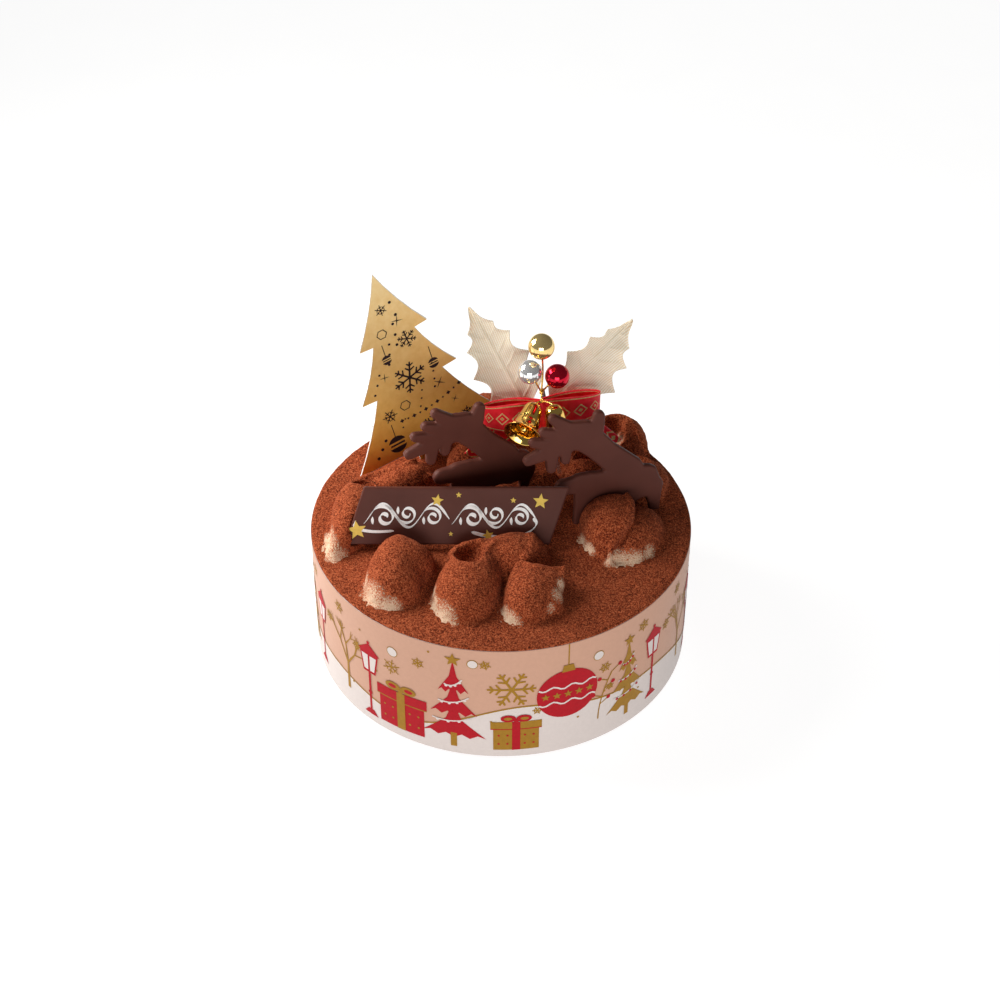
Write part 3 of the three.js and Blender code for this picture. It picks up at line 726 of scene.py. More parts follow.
def draw_sprig(art, x, y, high, lean):
    """A sprig of berries on a curved stem."""
    stem = [(x + lean * high * t * t, y + high * t) for t in np.linspace(0, 1, 7)]
    art.stroke(OCHRE, 4, stem, 0.45)
    for k, (px, py) in enumerate(stem[2:]):
        side = high * (0.01 if k % 2 == 0 else -0.01)
        art.line(OCHRE, 4, (px, py), (px + 14 * side, py + high * 0.08), 0.35)
        art.disc(RED, 5, px + 17 * side, py + high * 0.10, 0.75, 12)


def draw_snowball(art, x, y, radius):
    art.disc(OCHRE, 3, x, y, radius + 0.25, 24)
    art.disc(SNOW, 4, x, y, radius, 24)


# %% Three rounds of the same winter
MOTIFS = [
    (draw_lantern, -44, 3.5, 32, RED), (draw_gift, -32, 4, 16, 15.5, RED, OCHRE),
    (draw_snowball, -34.5, 35.5, 1.7), (draw_fir, -14.5, 3.5, 36, 20, RED), (draw_snowball, -8.5, 39, 1.5),
    (draw_gift, 4.6, 3.5, 14, 12, OCHRE, RED), (draw_bauble, 20.5, 24.5, 9.8, BAND_HIGH),
    (draw_sprig, 31, 9, 18, 0.25), (draw_snowball, 30.5, 36, 1.6), (draw_fir, 42, 5, 31, 16, OCHRE),
    (draw_lantern, 53.5, 5, 31, RED),
]
SMALL_FLAKES = [
    (-58, 39, 2.4), (-49.5, 29, 2), (-35, 29, 3.2), (-25.6, 35, 2.2), (-4.8, 39, 1.9), (11, 19.5, 1.6),
    (33, 30, 2.2), (35, 21, 1.5), (48, 38.5, 2.4), (60.5, 30, 2.2),
]
DOTS = [
    (-52, 12), (-41, 24), (-11, 12), (10, 12.5), (24, 13), (33, 20), (47, 13), (-22, 41), (44, 30),
    (-3, 15.5), (-47.5, 37),
]


def draw_winter(art):
    draw_hills(art)
    for lap in range(-1, 2):
        x = lap * 2 * BAND_REACH / 3
        for draw, along, *sizes in MOTIFS:
            draw(art, x + along, *sizes)
        draw_bare_tree(art, x - 54.5, 7.5, 26, 1.0 + lap)
        art.snowflake(OCHRE, 4, x + 3.2, 29.0, 7.4, 0.85, 2)
        for k, (along, up, radius) in enumerate(SMALL_FLAKES):
            art.snowflake(OCHRE, 4, x + along, up, radius, 0.42, 1, turn=11.0 * k)
        for along, up in DOTS:
            art.disc(OCHRE, 4, x + along, up, 0.42, 8)


band_art = Drawing()
draw_winter(band_art)
band_art.piece("band_print", BAND_INKS, "paper", round_the_cake, slice_mm=2.4)

# %% [markdown]
# ## Plates of chocolate and card
# The plaque and the two deer are chocolate cast in shallow trays, so their faces are flat, their
# edges are softly rounded, and inner corners are never sharp. The tree is die-cut board: a sharp
# white edge with printed gold foil on its face.

# %% A cast plate with soft edges
def corner_normals(corners, quads):
    across = corners[quads[:, 2]] - corners[quads[:, 0]]
    along = corners[quads[:, 3]] - corners[quads[:, 1]]
    face = np.cross(across, along)
    total = np.zeros_like(corners)
    for k in range(4):
        np.add.at(total, quads[:, k], face)
    return total / (np.linalg.norm(total, axis=1, keepdims=True) + 1e-12)


STANDING_PLATES = []


def cast_plate(name, flat_field, low, high, thick, bevel, matrix, node_name, step=0.35):
    """flat_field is negative inside the outline; low and high are the corners of its box."""
    points, low = grid_points((low[0], low[1], -thick / 2 - 1), (high[0], high[1], thick / 2 + 1), step)
    flat = flat_field(points[:, :, 0, :2])[:, :, None]
    away = np.abs(points[..., 2]) - thick / 2
    side, face = np.maximum(flat + bevel, 0), np.maximum(away + bevel, 0)
    field = np.minimum(np.maximum(flat + bevel, away + bevel), 0) + np.sqrt(side ** 2 + face ** 2) - bevel
    corners, quads = skin(field, low, step)
    corners += corner_normals(corners, quads) * (0.03 * lumps(corners, 3.0, 7))[:, None]
    STANDING_PLATES.append((flat_field, thick, matrix))
    return make_piece(name, moved(matrix, corners), quads, CHOCOLATE, "chocolate", [node_name])


def segment_gap(points, a, b):
    """Where the nearest place of a segment lies, from 0 to 1, and how far it is."""
    edge = b - a
    share = np.clip(((points - a) @ edge) / (edge @ edge), 0, 1)
    return share, np.linalg.norm(points - a - share[..., None] * edge, axis=-1)


def outline_field(outline):
    """Signed distance to a closed outline, negative inside."""
    outline = np.array(outline, dtype=float)

    def field(flat):
        gap, inside = np.full(flat.shape[:-1], 1e9), np.zeros(flat.shape[:-1], dtype=bool)
        x, y = flat[..., 0], flat[..., 1]
        for a, b in zip(outline, np.roll(outline, -1, axis=0)):
            gap = np.minimum(gap, segment_gap(flat, a, b)[1])
            with np.errstate(divide="ignore", invalid="ignore"):
                left = x < (b[0] - a[0]) * (y - a[1]) / (b[1] - a[1]) + a[0]
            inside ^= ((a[1] > y) != (b[1] > y)) & left
        return np.where(inside, -gap, gap)

    return field


# %% The plaque
PLAQUE_PLACE = standing((-16.6, -14.6, 47.3), lean=30)
PLAQUE_THICK = 2.2
PLAQUE_OUTLINE = [(-31.7, 0), (31.7, 0), (37.7, 18), (-25.7, 18)]
cast_plate(
    "chocolate_plaque", outline_field(PLAQUE_OUTLINE), (-33, -1.5), (39, 19.5), PLAQUE_THICK, 0.45,
    PLAQUE_PLACE, "plaque",
)


# %% Its print: scrollwork in white and stars in yellow
def rounded_path(path, rounds=2):
    """Cuts the corners off a path until it runs smoothly."""
    path = np.array(path, dtype=float)
    for _ in range(rounds):
        fine = [path[0]]
        for a, b in zip(path[:-1], path[1:]):
            fine += [a * 0.75 + b * 0.25, a * 0.25 + b * 0.75]
        path = np.array(fine + [path[-1]])
    return path


NIB_FINE, NIB_SLANT, TAPER_POINTS = 0.26, math.radians(55), 6


def pen(art, path, broad):
    """A flat-nib stroke: broad across the nib, fine along it, and thin at both ends."""
    heading = np.gradient(np.array(path), axis=0)
    slant = np.arctan2(heading[:, 1], heading[:, 0]) - NIB_SLANT
    place = np.arange(len(path))
    taper = np.clip(np.minimum(place, place[::-1]) / TAPER_POINTS + 0.25, 0, 1)
    art.stroke(0, 1, path, (NIB_FINE + (broad - NIB_FINE) * np.abs(np.sin(slant))) * taper)


def curl(x, y, heading, first, last, turns):
    """A line that leaves (x, y) and winds up while its radius shrinks from first to last."""
    points, angle, count, step = [(x, y)], math.radians(heading), int(abs(turns) * 30), math.tau / 30
    for k in range(count):
        stride = step * first * (last / first) ** (k / count)
        angle += math.copysign(step, turns)
        x, y = x + stride * math.cos(angle), y + stride * math.sin(angle)
        points.append((x, y))
    return points


def running_scroll(art, x, y, half_wave, swing, count, size):
    """A waving stem with a curl in each hollow and a small leaf where each curl leaves."""
    ts = np.linspace(-0.25, count + 0.1, 24 * count)
    pen(art, np.column_stack([x + half_wave * ts, y + swing * np.sin(math.pi * ts)]), 0.85)
    for k in range(count):
        up = 1 if k % 2 == 0 else -1
        grow = size if k == 0 else 1.0
        pen(art, curl(x + half_wave * (k + 0.02), y, up * 78, 3.5 * grow, 0.8, -up * 1.5), 1.05 if k else 1.3)
        leaf = rounded_path([(0, 0), (0.5, 1.1), (0.1, 2.9), (-0.7, 1.2), (0, 0)])
        art.polygon(0, 1, [(x + half_wave * (k + 0.1) + px, y - up * (0.3 + py)) for px, py in leaf[:-1]])


plaque_art = Drawing()
running_scroll(plaque_art, -23.8, 9.2, 7.9, 3.7, 3, 1.25)
running_scroll(plaque_art, 3.4, 9.0, 7.8, 3.6, 3, 1.22)
for broad, path in (
    (1.0, [(-28.2, 7.6), (-29.0, 5.8), (-26.8, 4.6), (-22.0, 4.0), (-16.5, 4.4)]),
    (1.15, [(7.5, 4.0), (12.5, 2.6), (19.0, 2.3), (24.8, 3.4), (28.0, 6.4), (26.6, 8.4)]),
):
    pen(plaque_art, rounded_path(path, 3), broad)
for x, y, radius, turn in (
    (-27.9, 4.6, 3.1, 8), (-3.0, 13.9, 2.0, -10), (3.6, 15.6, 0.95, 0), (1.1, 3.4, 0.8, 0),
    (12.6, 2.9, 1.9, 12), (20.4, 13.9, 0.95, 0), (28.8, 13.6, 2.5, -6),
):
    plaque_art.star(1, 2, x, y, radius, turn=turn, inner=0.46)


def on_plaque(x, y, layer):
    return tuple(moved(PLAQUE_PLACE, (x, y, PLAQUE_THICK / 2 + 0.05 + 0.03 * layer)))


plaque_art.piece("plaque_print", [ICING_WHITE, ICING_YELLOW], "chocolate", on_plaque)

# %% The two deer
DEER_THICK = 2.4
DEER_LIMBS = {
    "body": ((-19, 10.6, 7.4), (-4, 12, 5.6)),
    "haunch": ((-3, 12.9, 5.1), (-0.6, 10.4, 3.3)),
    "hind_leg": ((-0.2, 10, 3), (0, 1.7, 1.7)),
    "hind_leg_behind": ((-9, 7.5, 3.6), (-11, -1, 2.1)),
    "fore_leg": ((-22.5, 8, 3.9), (-25, -3, 2.4)),
    "fore_leg_behind": ((-16.5, 7, 3.4), (-17.5, -3, 2.2)),
    "muzzle": ((-14, 14.6, 4.1), (-29.9, 15.2, 2.6)),
    "brow": ((-21, 15.4, 3.4), (-24.4, 15.5, 3.3)),
    "neck": ((-8.5, 17.2, 5), (-17.6, 26.4, 4.1)),
    "head": ((-17.6, 26.8, 4.3), (-23, 32.4, 5)),
    "palm": ((-23, 32.5, 4.9), (-29.4, 31.9, 4.1)),
    "crown": ((-25.5, 34.6, 3.2), (-28, 34.4, 3.2)),
    "ear": ((-18.9, 34, 2.6), (-17.9, 38.2, 1.9)),
    "tine_top": ((-27.6, 35.4, 2.6), (-32.5, 39.8, 1.6)),
    "tine_upper": ((-29.6, 33.4, 2.2), (-35.7, 35.8, 1.5)),
    "tine_middle": ((-32, 30.6, 2.4), (-39.1, 32.8, 1.5)),
    "tine_lower": ((-32, 29.4, 2.8), (-40.9, 26.8, 1.7)),
    "tine_hanging": ((-33.2, 28.2, 2.2), (-33.6, 22.7, 1.6)),
    "tine_inner": ((-28.6, 29, 2), (-29, 24.9, 1.5)),
}


def deer_field(flat):
    field = np.full(flat.shape[:-1], 1e3)
    for start, end in DEER_LIMBS.values():
        share, gap = segment_gap(flat, np.array(start[:2]), np.array(end[:2]))
        field = soft_min(field, gap - (start[2] + share * (end[2] - start[2])), 0.7)
    return field


for name, place, yaw, lean, roll in (
    ("reindeer_right", (48.6, 5.4, 44), 16, 8, 0), ("reindeer_left", (7.6, 13.2, 45), 25, 0, -3.1),
):
    matrix = standing(place, yaw, lean, roll)
    cast_plate(f"chocolate_{name}", deer_field, (-45, -6), (7, 43), DEER_THICK, 0.6, matrix, name, 0.42)

# %% The card tree
TREE_PLACE = standing((-45.6, 20.8, 45.5), 27, 4, 13.3) @ np.array(Matrix.Translation((25.9, 68.4, 0)))
CARD_THICK = 0.5
TREE_HOLLOW, TRUNK = 0.9, 14.0
TREE_TIERS = [(24.2, 12.1, 7.4), (43.4, 17.3, 12.0), (68.4, 25.9, 5.0)]


def tree_side(side):
    """One slanting edge from the top down to the foot of the trunk, hollow between its tips."""
    points, start = [], (0.0, 0.0)
    for down, tip, notch in TREE_TIERS:
        for t in (0.25, 0.5, 0.75):
            across = start[0] + (side * tip - start[0]) * t - side * TREE_HOLLOW * 4 * t * (1 - t)
            points.append((across, start[1] - (down + start[1]) * t))
        points.append((side * tip, -down))
        start = (side * notch, -down - 0.4)
        points.append(start)
    return points + [(start[0], start[1] - TRUNK)]


TREE_OUTLINE = [(0.0, 0.0)] + tree_side(-1) + tree_side(1)[::-1]


def make_card():
    n = len(TREE_OUTLINE)
    corners = [(x, y, half) for half in (CARD_THICK / 2, -CARD_THICK / 2) for x, y in TREE_OUTLINE]
    faces = [tuple(range(n)), tuple(range(n, 2 * n))[::-1]] + turned_over(net(2, n, wrap=True))
    corners = moved(TREE_PLACE, corners)
    make_piece("card_board", corners, faces, CARD_EDGE, "card", ["card_tree"], smooth=False)


make_card()
STANDING_PLATES.append((outline_field(TREE_OUTLINE), CARD_THICK, TREE_PLACE))


# %% Gold foil and print on both faces of the card
def draw_hanging(art, x, y, radius, string_top):
    """A bauble on its string, with a bare belt."""
    art.line(1, 1, (x, y + radius), (x, string_top), 0.28)
    for low, high in ((20, 160), (200, 340)):
        art.polygon(1, 1, circle(x, y, radius, np.radians(np.linspace(low, high, 14))))
    art.line(1, 1, (x - 0.8 * radius, y), (x + 0.8 * radius, y), 0.22 * radius)


CARD_FLAKES = [
    (-1.2, -13.5, 2.0), (3.8, -27.5, 3.3), (0.6, -41.5, 5.8), (-9.8, -51.8, 2.6), (3.6, -61.8, 4.0),
    (15.2, -64.5, 2.2),
]
CARD_SPARKS = [
    (2.6, -19.6, 2.2), (-7.2, -37.2, 1.8), (9.4, -48.6, 2.3), (-3.6, -66.6, 2.0), (12.6, -57.4, 1.6)
]
CARD_RINGS = [(-3.4, -21.8, 1.7), (10.6, -31.0, 1.3), (-3.8, -50.6, 1.8), (19.0, -60.2, 1.5)]
CARD_BAUBLES = [
    (-4.6, -31.4, 1.7, -25.5), (9.6, -40.6, 1.9, -34.0), (-10.4, -63.2, 3.2, -55.0), (8.6, -68.0, 1.9, -62.0)
]


def draw_tree_card(art):
    """Foil to within a hair of the cut edge, with flakes, sparks, rings and baubles printed dark on it."""
    middle, within = np.array([0.0, -46.0]), outline_field(TREE_OUTLINE)
    art.polygon(0, 0, (np.array(TREE_OUTLINE) - middle) * 0.988 + middle)

    def clear(motifs):
        """Only the motifs that keep half a millimetre from the edge."""
        table = np.array([motif[:3] for motif in motifs], dtype=float)
        return [motif for motif, gap in zip(motifs, within(table[:, :2]) + table[:, 2]) if gap < -0.5]

    for x, y, r in clear(CARD_FLAKES):
        art.snowflake(1, 1, x, y, r, 0.16 + 0.09 * r, 2 if r > 3 else 1, turn=25 * x)
    for x, y, r in clear(CARD_SPARKS):
        art.star(1, 1, x, y, r, 4, 0.13, turn=10 * y)
    for x, y, r in clear(CARD_RINGS):
        art.stroke(1, 1, circle(x, y, r, np.linspace(0, math.tau, 7)), 0.34)
    for bauble in CARD_BAUBLES:
        draw_hanging(art, *bauble)
    for k in range(11):
        t = k / 10
        garland = (-6.5 + 22.0 * t, -55.6 + 3.2 * t - 6.0 * t * (1 - t))
        art.star(1, 1, *garland, 0.5 if k % 2 else 0.85, 4, 0.6)
    dots = []
    for k in range(26):
        y = -7.5 - 60.0 * ((k * 0.618) % 1.0) ** 0.75
        dots.append((0.30 * -y * (2 * ((k * 0.7548) % 1.0) - 1), y, 0.6, 0.3 + 0.3 * ((k * 0.37) % 1.0)))
    for x, y, _, radius in clear(dots):
        art.disc(1, 1, x, y, radius, 10)


for side, name in ((1, "tree_print"), (-1, "tree_print_back")):
    def on_card(x, y, layer):
        return tuple(moved(TREE_PLACE, (side * x, y, side * (CARD_THICK / 2 + 0.02 + 0.03 * layer))))

    card_art = Drawing()
    draw_tree_card(card_art)
    card_art.piece(name, [CARD_GOLD, INK_BROWN], "card", on_card)

# %% [markdown]
# ## The piped petals
# Each dollop is pressed out of a wide slit nozzle and dragged away, so it starts fat and pale, arches
# over and folds into a thin lip with a hollow behind it. They could be sculpted by hand, but a short
# table of lumps, scoops and ridges keeps every number readable. The powder then falls on top.

# %% Fields of the forms that a dollop is made of
EGG_TAPER = 0.18


def egg_field(points, at, half, turn=0.0, tip=0.0):
    """A long egg: turn is the heading of its fat end, and tip lifts that end."""
    rotation = Matrix.Rotation(math.radians(turn), 3, "Z") @ Matrix.Rotation(math.radians(-tip), 3, "Y")
    local = (points - np.array(at)) @ np.array(rotation)
    local[..., 1] /= 1 + EGG_TAPER * np.clip(local[..., 0] / half[0], -1.5, 1.5)
    near = np.sqrt(((local / np.array(half)) ** 2).sum(-1))
    slope = np.sqrt(((local / np.array(half) ** 2) ** 2).sum(-1)) + 1e-9
    return near * (near - 1) / slope


def stroke_field(points, path):
    """A round stroke through (x, y, z, radius) points."""
    field = np.full(points.shape[:-1], 1e3)
    path = rounded_path(path)
    for start, end in zip(path[:-1], path[1:]):
        share, gap = segment_gap(points, start[:3], end[:3])
        field = np.minimum(field, gap - (start[3] + share * (end[3] - start[3])))
    return field


def curtain_field(points, line):
    """Distance from an upright wall over a line on the cake, negative on the wall's right side."""
    flat = points[..., :2]
    best, sign = np.full(flat.shape[:-1], 1e9), np.ones(flat.shape[:-1])
    line = rounded_path(line)
    for a, b in zip(line[:-1], line[1:]):
        edge = b - a
        gap = segment_gap(flat, a, b)[1]
        turn = edge[0] * (flat[..., 1] - a[1]) - edge[1] * (flat[..., 0] - a[0])
        sign = np.where(gap < best, np.where(turn > 0, 1, -1), sign)
        best = np.minimum(best, gap)
    return best * sign


# %% The table of dollops
# lumps are joined softly by melt; over is one more lump that ends at a line, as a fold does; scoops
# are taken out; ridges are laid on last. cream lists the places that the powder missed.
DOLLOPS = {
    "petal_left": {
        "lumps": [((-45.8, -1, 47.4), (15.4, 7.6, 8.6), 80), ((-49.8, -13.6, 46), (6.6, 3.6, 4.4), 72)],
        "melt": 2.2,
        "scoops": [((-43.6, 8.6, 54.6), (3.2, 4, 6), 70), ((-39.4, -19.6, 49), (8.2, 5.6, 9))],
        "ridges": [
            [
                (-51, -3.5, 52.6, 0.8), (-50.2, 1.4, 53.6, 0.8), (-48.2, 5, 54.2, 0.7),
                (-45.4, 5.2, 54.3, 0.7),
            ],
        ],
        "cream": [((-54.6, -11, 47), 2.6), ((-53.2, -15.5, 46), 3), ((-51, -18.6, 45.6), 2.4)],
    },
    "petal_left_rear": {
        "lumps": [((-37.5, 12.5, 46), (11.8, 5.8, 6.2), 4, 14), ((-29, 12.6, 46.6), (9.8, 6.2, 9.6), 26)],
        "melt": 4,
        "ridges": [
            [
                (-46.4, 13.6, 49.6, 0.8), (-42.6, 14.6, 51.2, 0.8), (-36.8, 14.2, 53.2, 0.8),
                (-31.8, 14.4, 55.2, 0.8), (-27.8, 16, 56.4, 0.9),
            ],
            [(-30.6, 9.4, 50.6, 0.8), (-26.4, 10.4, 52, 0.8), (-22.4, 12.4, 52.6, 0.8)],
        ],
        "fold": 1.4,
    },
    "petal_front_left": {
        "lumps": [((-32.2, -28.4, 47.4), (14.2, 8.4, 9), -96, -4), ((-28.4, -24.2, 47.2), (8, 6, 8), -4)],
        "melt": 3,
        "cream": [((-38, -38.6, 46.6), 3.4), ((-39.4, -33, 47.6), 2.2), ((-33.5, -43, 46), 2.6)],
    },
    "petal_front": {
        "lumps": [
            ((-9.3, -33, 47.4), (15.7, 9.6, 8.2), -108, -4), ((3.4, -21.5, 47.3), (11.4, 8.6, 7.8), 6),
            ((-8.6, -20.3, 47.5), (8, 2.6, 6), 8),
        ],
        "melt": 2.8,
        "scoops": [((-9.5, -26.2, 56.6), (5.6, 5.8, 7.4), -12)],
        "ridges": [
            [
                (-15, -25.2, 52.4, 0.6), (-14.4, -28.6, 53, 0.6), (-12.4, -31.2, 53.9, 0.6),
                (-9.2, -32.4, 54.2, 0.6), (-6.6, -31.8, 54.2, 0.6), (-5.2, -28.4, 54, 0.7),
                (-3.8, -24.4, 54, 0.9), (-1.8, -21.6, 54, 1.2),
            ],
            [
                (-14.9, -25.6, 52.4, 0.6), (-13.2, -22.4, 52.6, 0.6), (-10, -20.9, 52.9, 0.6),
                (-6.2, -20.2, 53.6, 0.8),
            ],
            [(9.2, -18.2, 52.4, 2.2), (9.9, -21.5, 52.2, 2.3), (7.6, -26.4, 51.8, 2.1)],
        ],
        "fold": 0.8,
        "cream": [((-19.6, -42, 46.6), 2.2), ((-18, -46.6, 45.5), 3.4), ((-20.4, -37.5, 48), 1.5)],
    },
    "petal_front_right": {
        "lumps": [
            ((9.4, -36.6, 47), (12.6, 7.6, 7.2), -108, -4), ((13, -35, 48.2), (6.6, 4.6, 4.6), 24, 8),
            ((14.2, -38, 47.6), (6.4, 3.4, 4), -66, -6),
        ],
        "melt": 2.2,
        "scoops": [((13.4, -26.9, 54.4), (7.4, 4.4, 6.6), 8)],
        "ridges": [
            [
                (8.8, -24.4, 51.6, 1.6), (6.4, -28, 51, 1.9), (4.6, -32, 50.2, 1.9), (3.4, -36.5, 49, 1.9),
                (2.8, -41, 47.6, 1.8), (3.2, -46, 46, 1.5),
            ],
            [
                (7.6, -29.6, 52.6, 0.6), (9.2, -31.8, 53.3, 0.6), (10.8, -32.9, 53.5, 0.6),
                (13, -32.9, 53.4, 0.6), (16, -32.2, 52.9, 0.55), (19.4, -31.6, 52.9, 0.35),
            ],
            [
                (19.2, -31.7, 52.6, 0.4), (18.4, -34.6, 51.4, 0.6), (17.3, -37.6, 50, 0.8),
                (15.6, -41, 48.6, 1), (13, -44, 47.4, 1.2),
            ],
            [(12.5, -36, 49, 4.2), (16.2, -34.2, 50.4, 2.2), (18, -32.8, 51.9, 0.6)],
        ],
        "cream": [
            ((1.2, -45.5, 45.6), 2), ((2.6, -48, 45.2), 2.4), ((17.8, -37, 50), 1.5),
            ((16.2, -40.4, 48.8), 1.7), ((14, -43.6, 47.4), 1.3),
        ],
    },
    "petal_right": {
        "lumps": [((42.2, -9, 46.2), (11.8, 7.6, 6.6), 72), ((39.6, -16.2, 45.6), (6.4, 4.4, 4.2), 24)],
        "melt": 2.4,
        "over": (
            ((34.8, -6.6, 47.4), (12.2, 10.4, 9.4), 76),
            [
                (39.5, 8), (40.2, -2), (41.6, -6), (41, -10.6), (38.6, -14.2), (35.8, -17.2), (34.4, -20),
                (34.2, -26),
            ],
        ),
        "ridges": [
            [
                (39.4, 0.6, 55.2, 0.6), (40.6, -4, 55.7, 0.8), (40.4, -8.4, 55.4, 0.9),
                (38.6, -12.2, 54.4, 1), (36.2, -15.4, 52.8, 1), (34.4, -18, 50.8, 0.9),
                (33.6, -20.2, 48.8, 0.9), (33.4, -21.8, 46.8, 0.8),
            ],
        ],
        "fold": 1.5,
        "cream": [
            ((24.4, -12, 45.6), 1.9), ((27.2, -15.4, 45.6), 1.9), ((33.8, -21.6, 46.6), 1.6),
            ((36.6, -21.4, 45.8), 2.5), ((41, -20.4, 45.6), 2.4), ((45, -16.8, 45.8), 1.9),
        ],
    },
    "petal_right_rear": {
        "lumps": [((45, 15, 46.6), (12.5, 8.4, 5.6), 80)],
        "ridges": [
            [
                (42, 25, 50.2, 0.8), (45.6, 24.8, 50.6, 0.9), (48.4, 21.8, 50.6, 0.9),
                (50, 15.5, 50.4, 0.9), (50.2, 8, 49.4, 0.9),
            ],
        ],
    },
    "petal_back_right": {
        "lumps": [((38.4, 32.4, 46.6), (10.8, 7.6, 13.4), 34), ((32.6, 34, 46.6), (6.6, 5.2, 12.2))],
        "melt": 2.4,
        "scoops": [((34.8, 28.8, 60.4), (5.8, 5.2, 9.2), 20), ((39, 34, 68.6), (12, 12, 9))],
        "ridges": [
            [
                (31.6, 33.6, 58, 0.7), (33.8, 34.6, 59.4, 0.8), (37.7, 35, 59.8, 0.8),
                (41, 34.4, 59.6, 0.8), (42.9, 31.8, 59, 0.8), (44.4, 29.6, 57.2, 0.8),
                (46, 27.6, 54.6, 0.8), (47.6, 25.2, 51.6, 0.8),
            ],
            [
                (41.8, 32.2, 59.2, 0.7), (40, 30.4, 57.6, 0.7), (38.4, 29.4, 55.6, 0.8),
                (38, 28.6, 53.2, 0.9),
            ],
        ],
        "cream": [((38.6, 29.6, 54.4), 1.6)],
    },
    "petal_back": {
        "lumps": [((18, 44.5, 48), (13, 8.4, 9), 68)],
        "scoops": [((14, 34, 57), (6, 5, 5), 68)],
        "ridges": [
            [(12.5, 38.5, 53.6, 0.8), (16.4, 39.8, 55.4, 0.8), (20.5, 37, 54, 0.8)],
        ],
        "cream": [((22, 55, 46), 3.2), ((27, 50, 46), 2.4)],
    },
    "petal_back_middle": {
        "lumps": [((-4.5, 47, 48), (12, 8.4, 8.8), 96)],
        "scoops": [((-2, 36, 57), (6, 5, 5), 96)],
        "ridges": [
            [(-7.5, 39.5, 53.2, 0.8), (-3, 41.5, 55.6, 0.8), (1.2, 39.8, 53.8, 0.8)],
        ],
        "cream": [((-6, 57, 46), 3.2), ((1, 57, 46), 2.2)],
    },
    "petal_back_left": {
        "lumps": [((-27.5, 42.5, 48), (12, 7.6, 8.6), 128)],
        "scoops": [((-20.5, 34.5, 57), (5.5, 5, 5), 128)],
        "ridges": [
            [(-26, 35.8, 53.2, 0.8), (-23.4, 38.9, 55.2, 0.8), (-19, 39.6, 53.2, 0.8)],
        ],
        "cream": [((-35, 50, 46), 3), ((-38, 45, 46), 2.2)],
    },
    "peak_middle": {"lumps": [((13.5, 7, 48), (6.6, 5.4, 11.4), 40)]},
    "peak_right": {
        "lumps": [((27.6, 14.5, 48), (9.2, 8.4, 9.8), 10), ((29.5, 21.5, 47), (8, 6.4, 10.4))],
        "melt": 2.4,
        "scoops": [((27.8, 20, 57.5), (6.2, 4.9, 8.8), 4)],
        "ridges": [
            [
                (20.6, 15.4, 55.6, 0.7), (24.2, 14.4, 56.2, 0.7), (29, 14.6, 56.2, 0.7),
                (33.2, 15.8, 55.2, 0.7),
            ],
        ],
    },
    "peak_front": {"lumps": [((1, -0.5, 47), (8.4, 6, 12), 15)]},
    "peak_rear": {"lumps": [((-9.5, 24, 48), (9, 7, 9.8), 30)]},
}


# %% The field of one row
def dollop_field(points, recipe):
    melt, fold = recipe.get("melt", 1.6), recipe.get("fold", 1.0)
    field = None
    for lump in recipe["lumps"]:
        egg = egg_field(points, *lump)
        field = egg if field is None else soft_min(field, egg, melt)
    if "over" in recipe:
        lump, line = recipe["over"]
        field = soft_min(field, soft_max(egg_field(points, *lump), curtain_field(points, line), 0.35), 0.3)
    for scoop in recipe.get("scoops", []):
        field = soft_max(field, -egg_field(points, *scoop), 0.5)
    for path in recipe.get("ridges", []):
        field = soft_min(field, stroke_field(points, path), fold)
    return field


def plates_nearby(points):
    """Distance to the plaque, the deer and the card, which the cream closes round but never enters."""
    gap = np.full(points.shape[:-1], 1e3)
    for flat_field, thick, matrix in STANDING_PLATES:
        back = np.linalg.inv(matrix)
        local = points @ back[:3, :3].T + back[:3, 3]
        gap = np.minimum(gap, np.maximum(flat_field(local[..., :2]), np.abs(local[..., 2]) - thick / 2))
    return gap


# %% From a row of the table to a piece
CREAM_STEP = 0.42
CREAM_BED, FOOT_MELT = CAKE_HEIGHT - 0.14, 2.2
RIM_LINE, RIM_MELT = BAND_RADIUS - 0.9, 1.2
NEARBY, PLATE_GAP, DOLLOP_GAP = 1.2, 0.25, 0.12
earlier = []


def room_for(recipe):
    """The box of space that holds a dollop, with a margin round its eggs and ridges."""
    eggs = recipe["lumps"] + ([recipe["over"][0]] if "over" in recipe else [])
    reaches = [(np.array(at), np.array([max(half), max(half), half[2]])) for at, half, *_ in eggs]
    for path in recipe.get("ridges", []):
        reaches += [(np.array(point[:3]), point[3]) for point in path]
    low = np.min([at - reach for at, reach in reaches], axis=0) - 3
    high = np.max([at + reach for at, reach in reaches], axis=0) + 3
    low[2], high[2] = CAKE_HEIGHT - 2.0, high[2] - 1.0
    return low, high


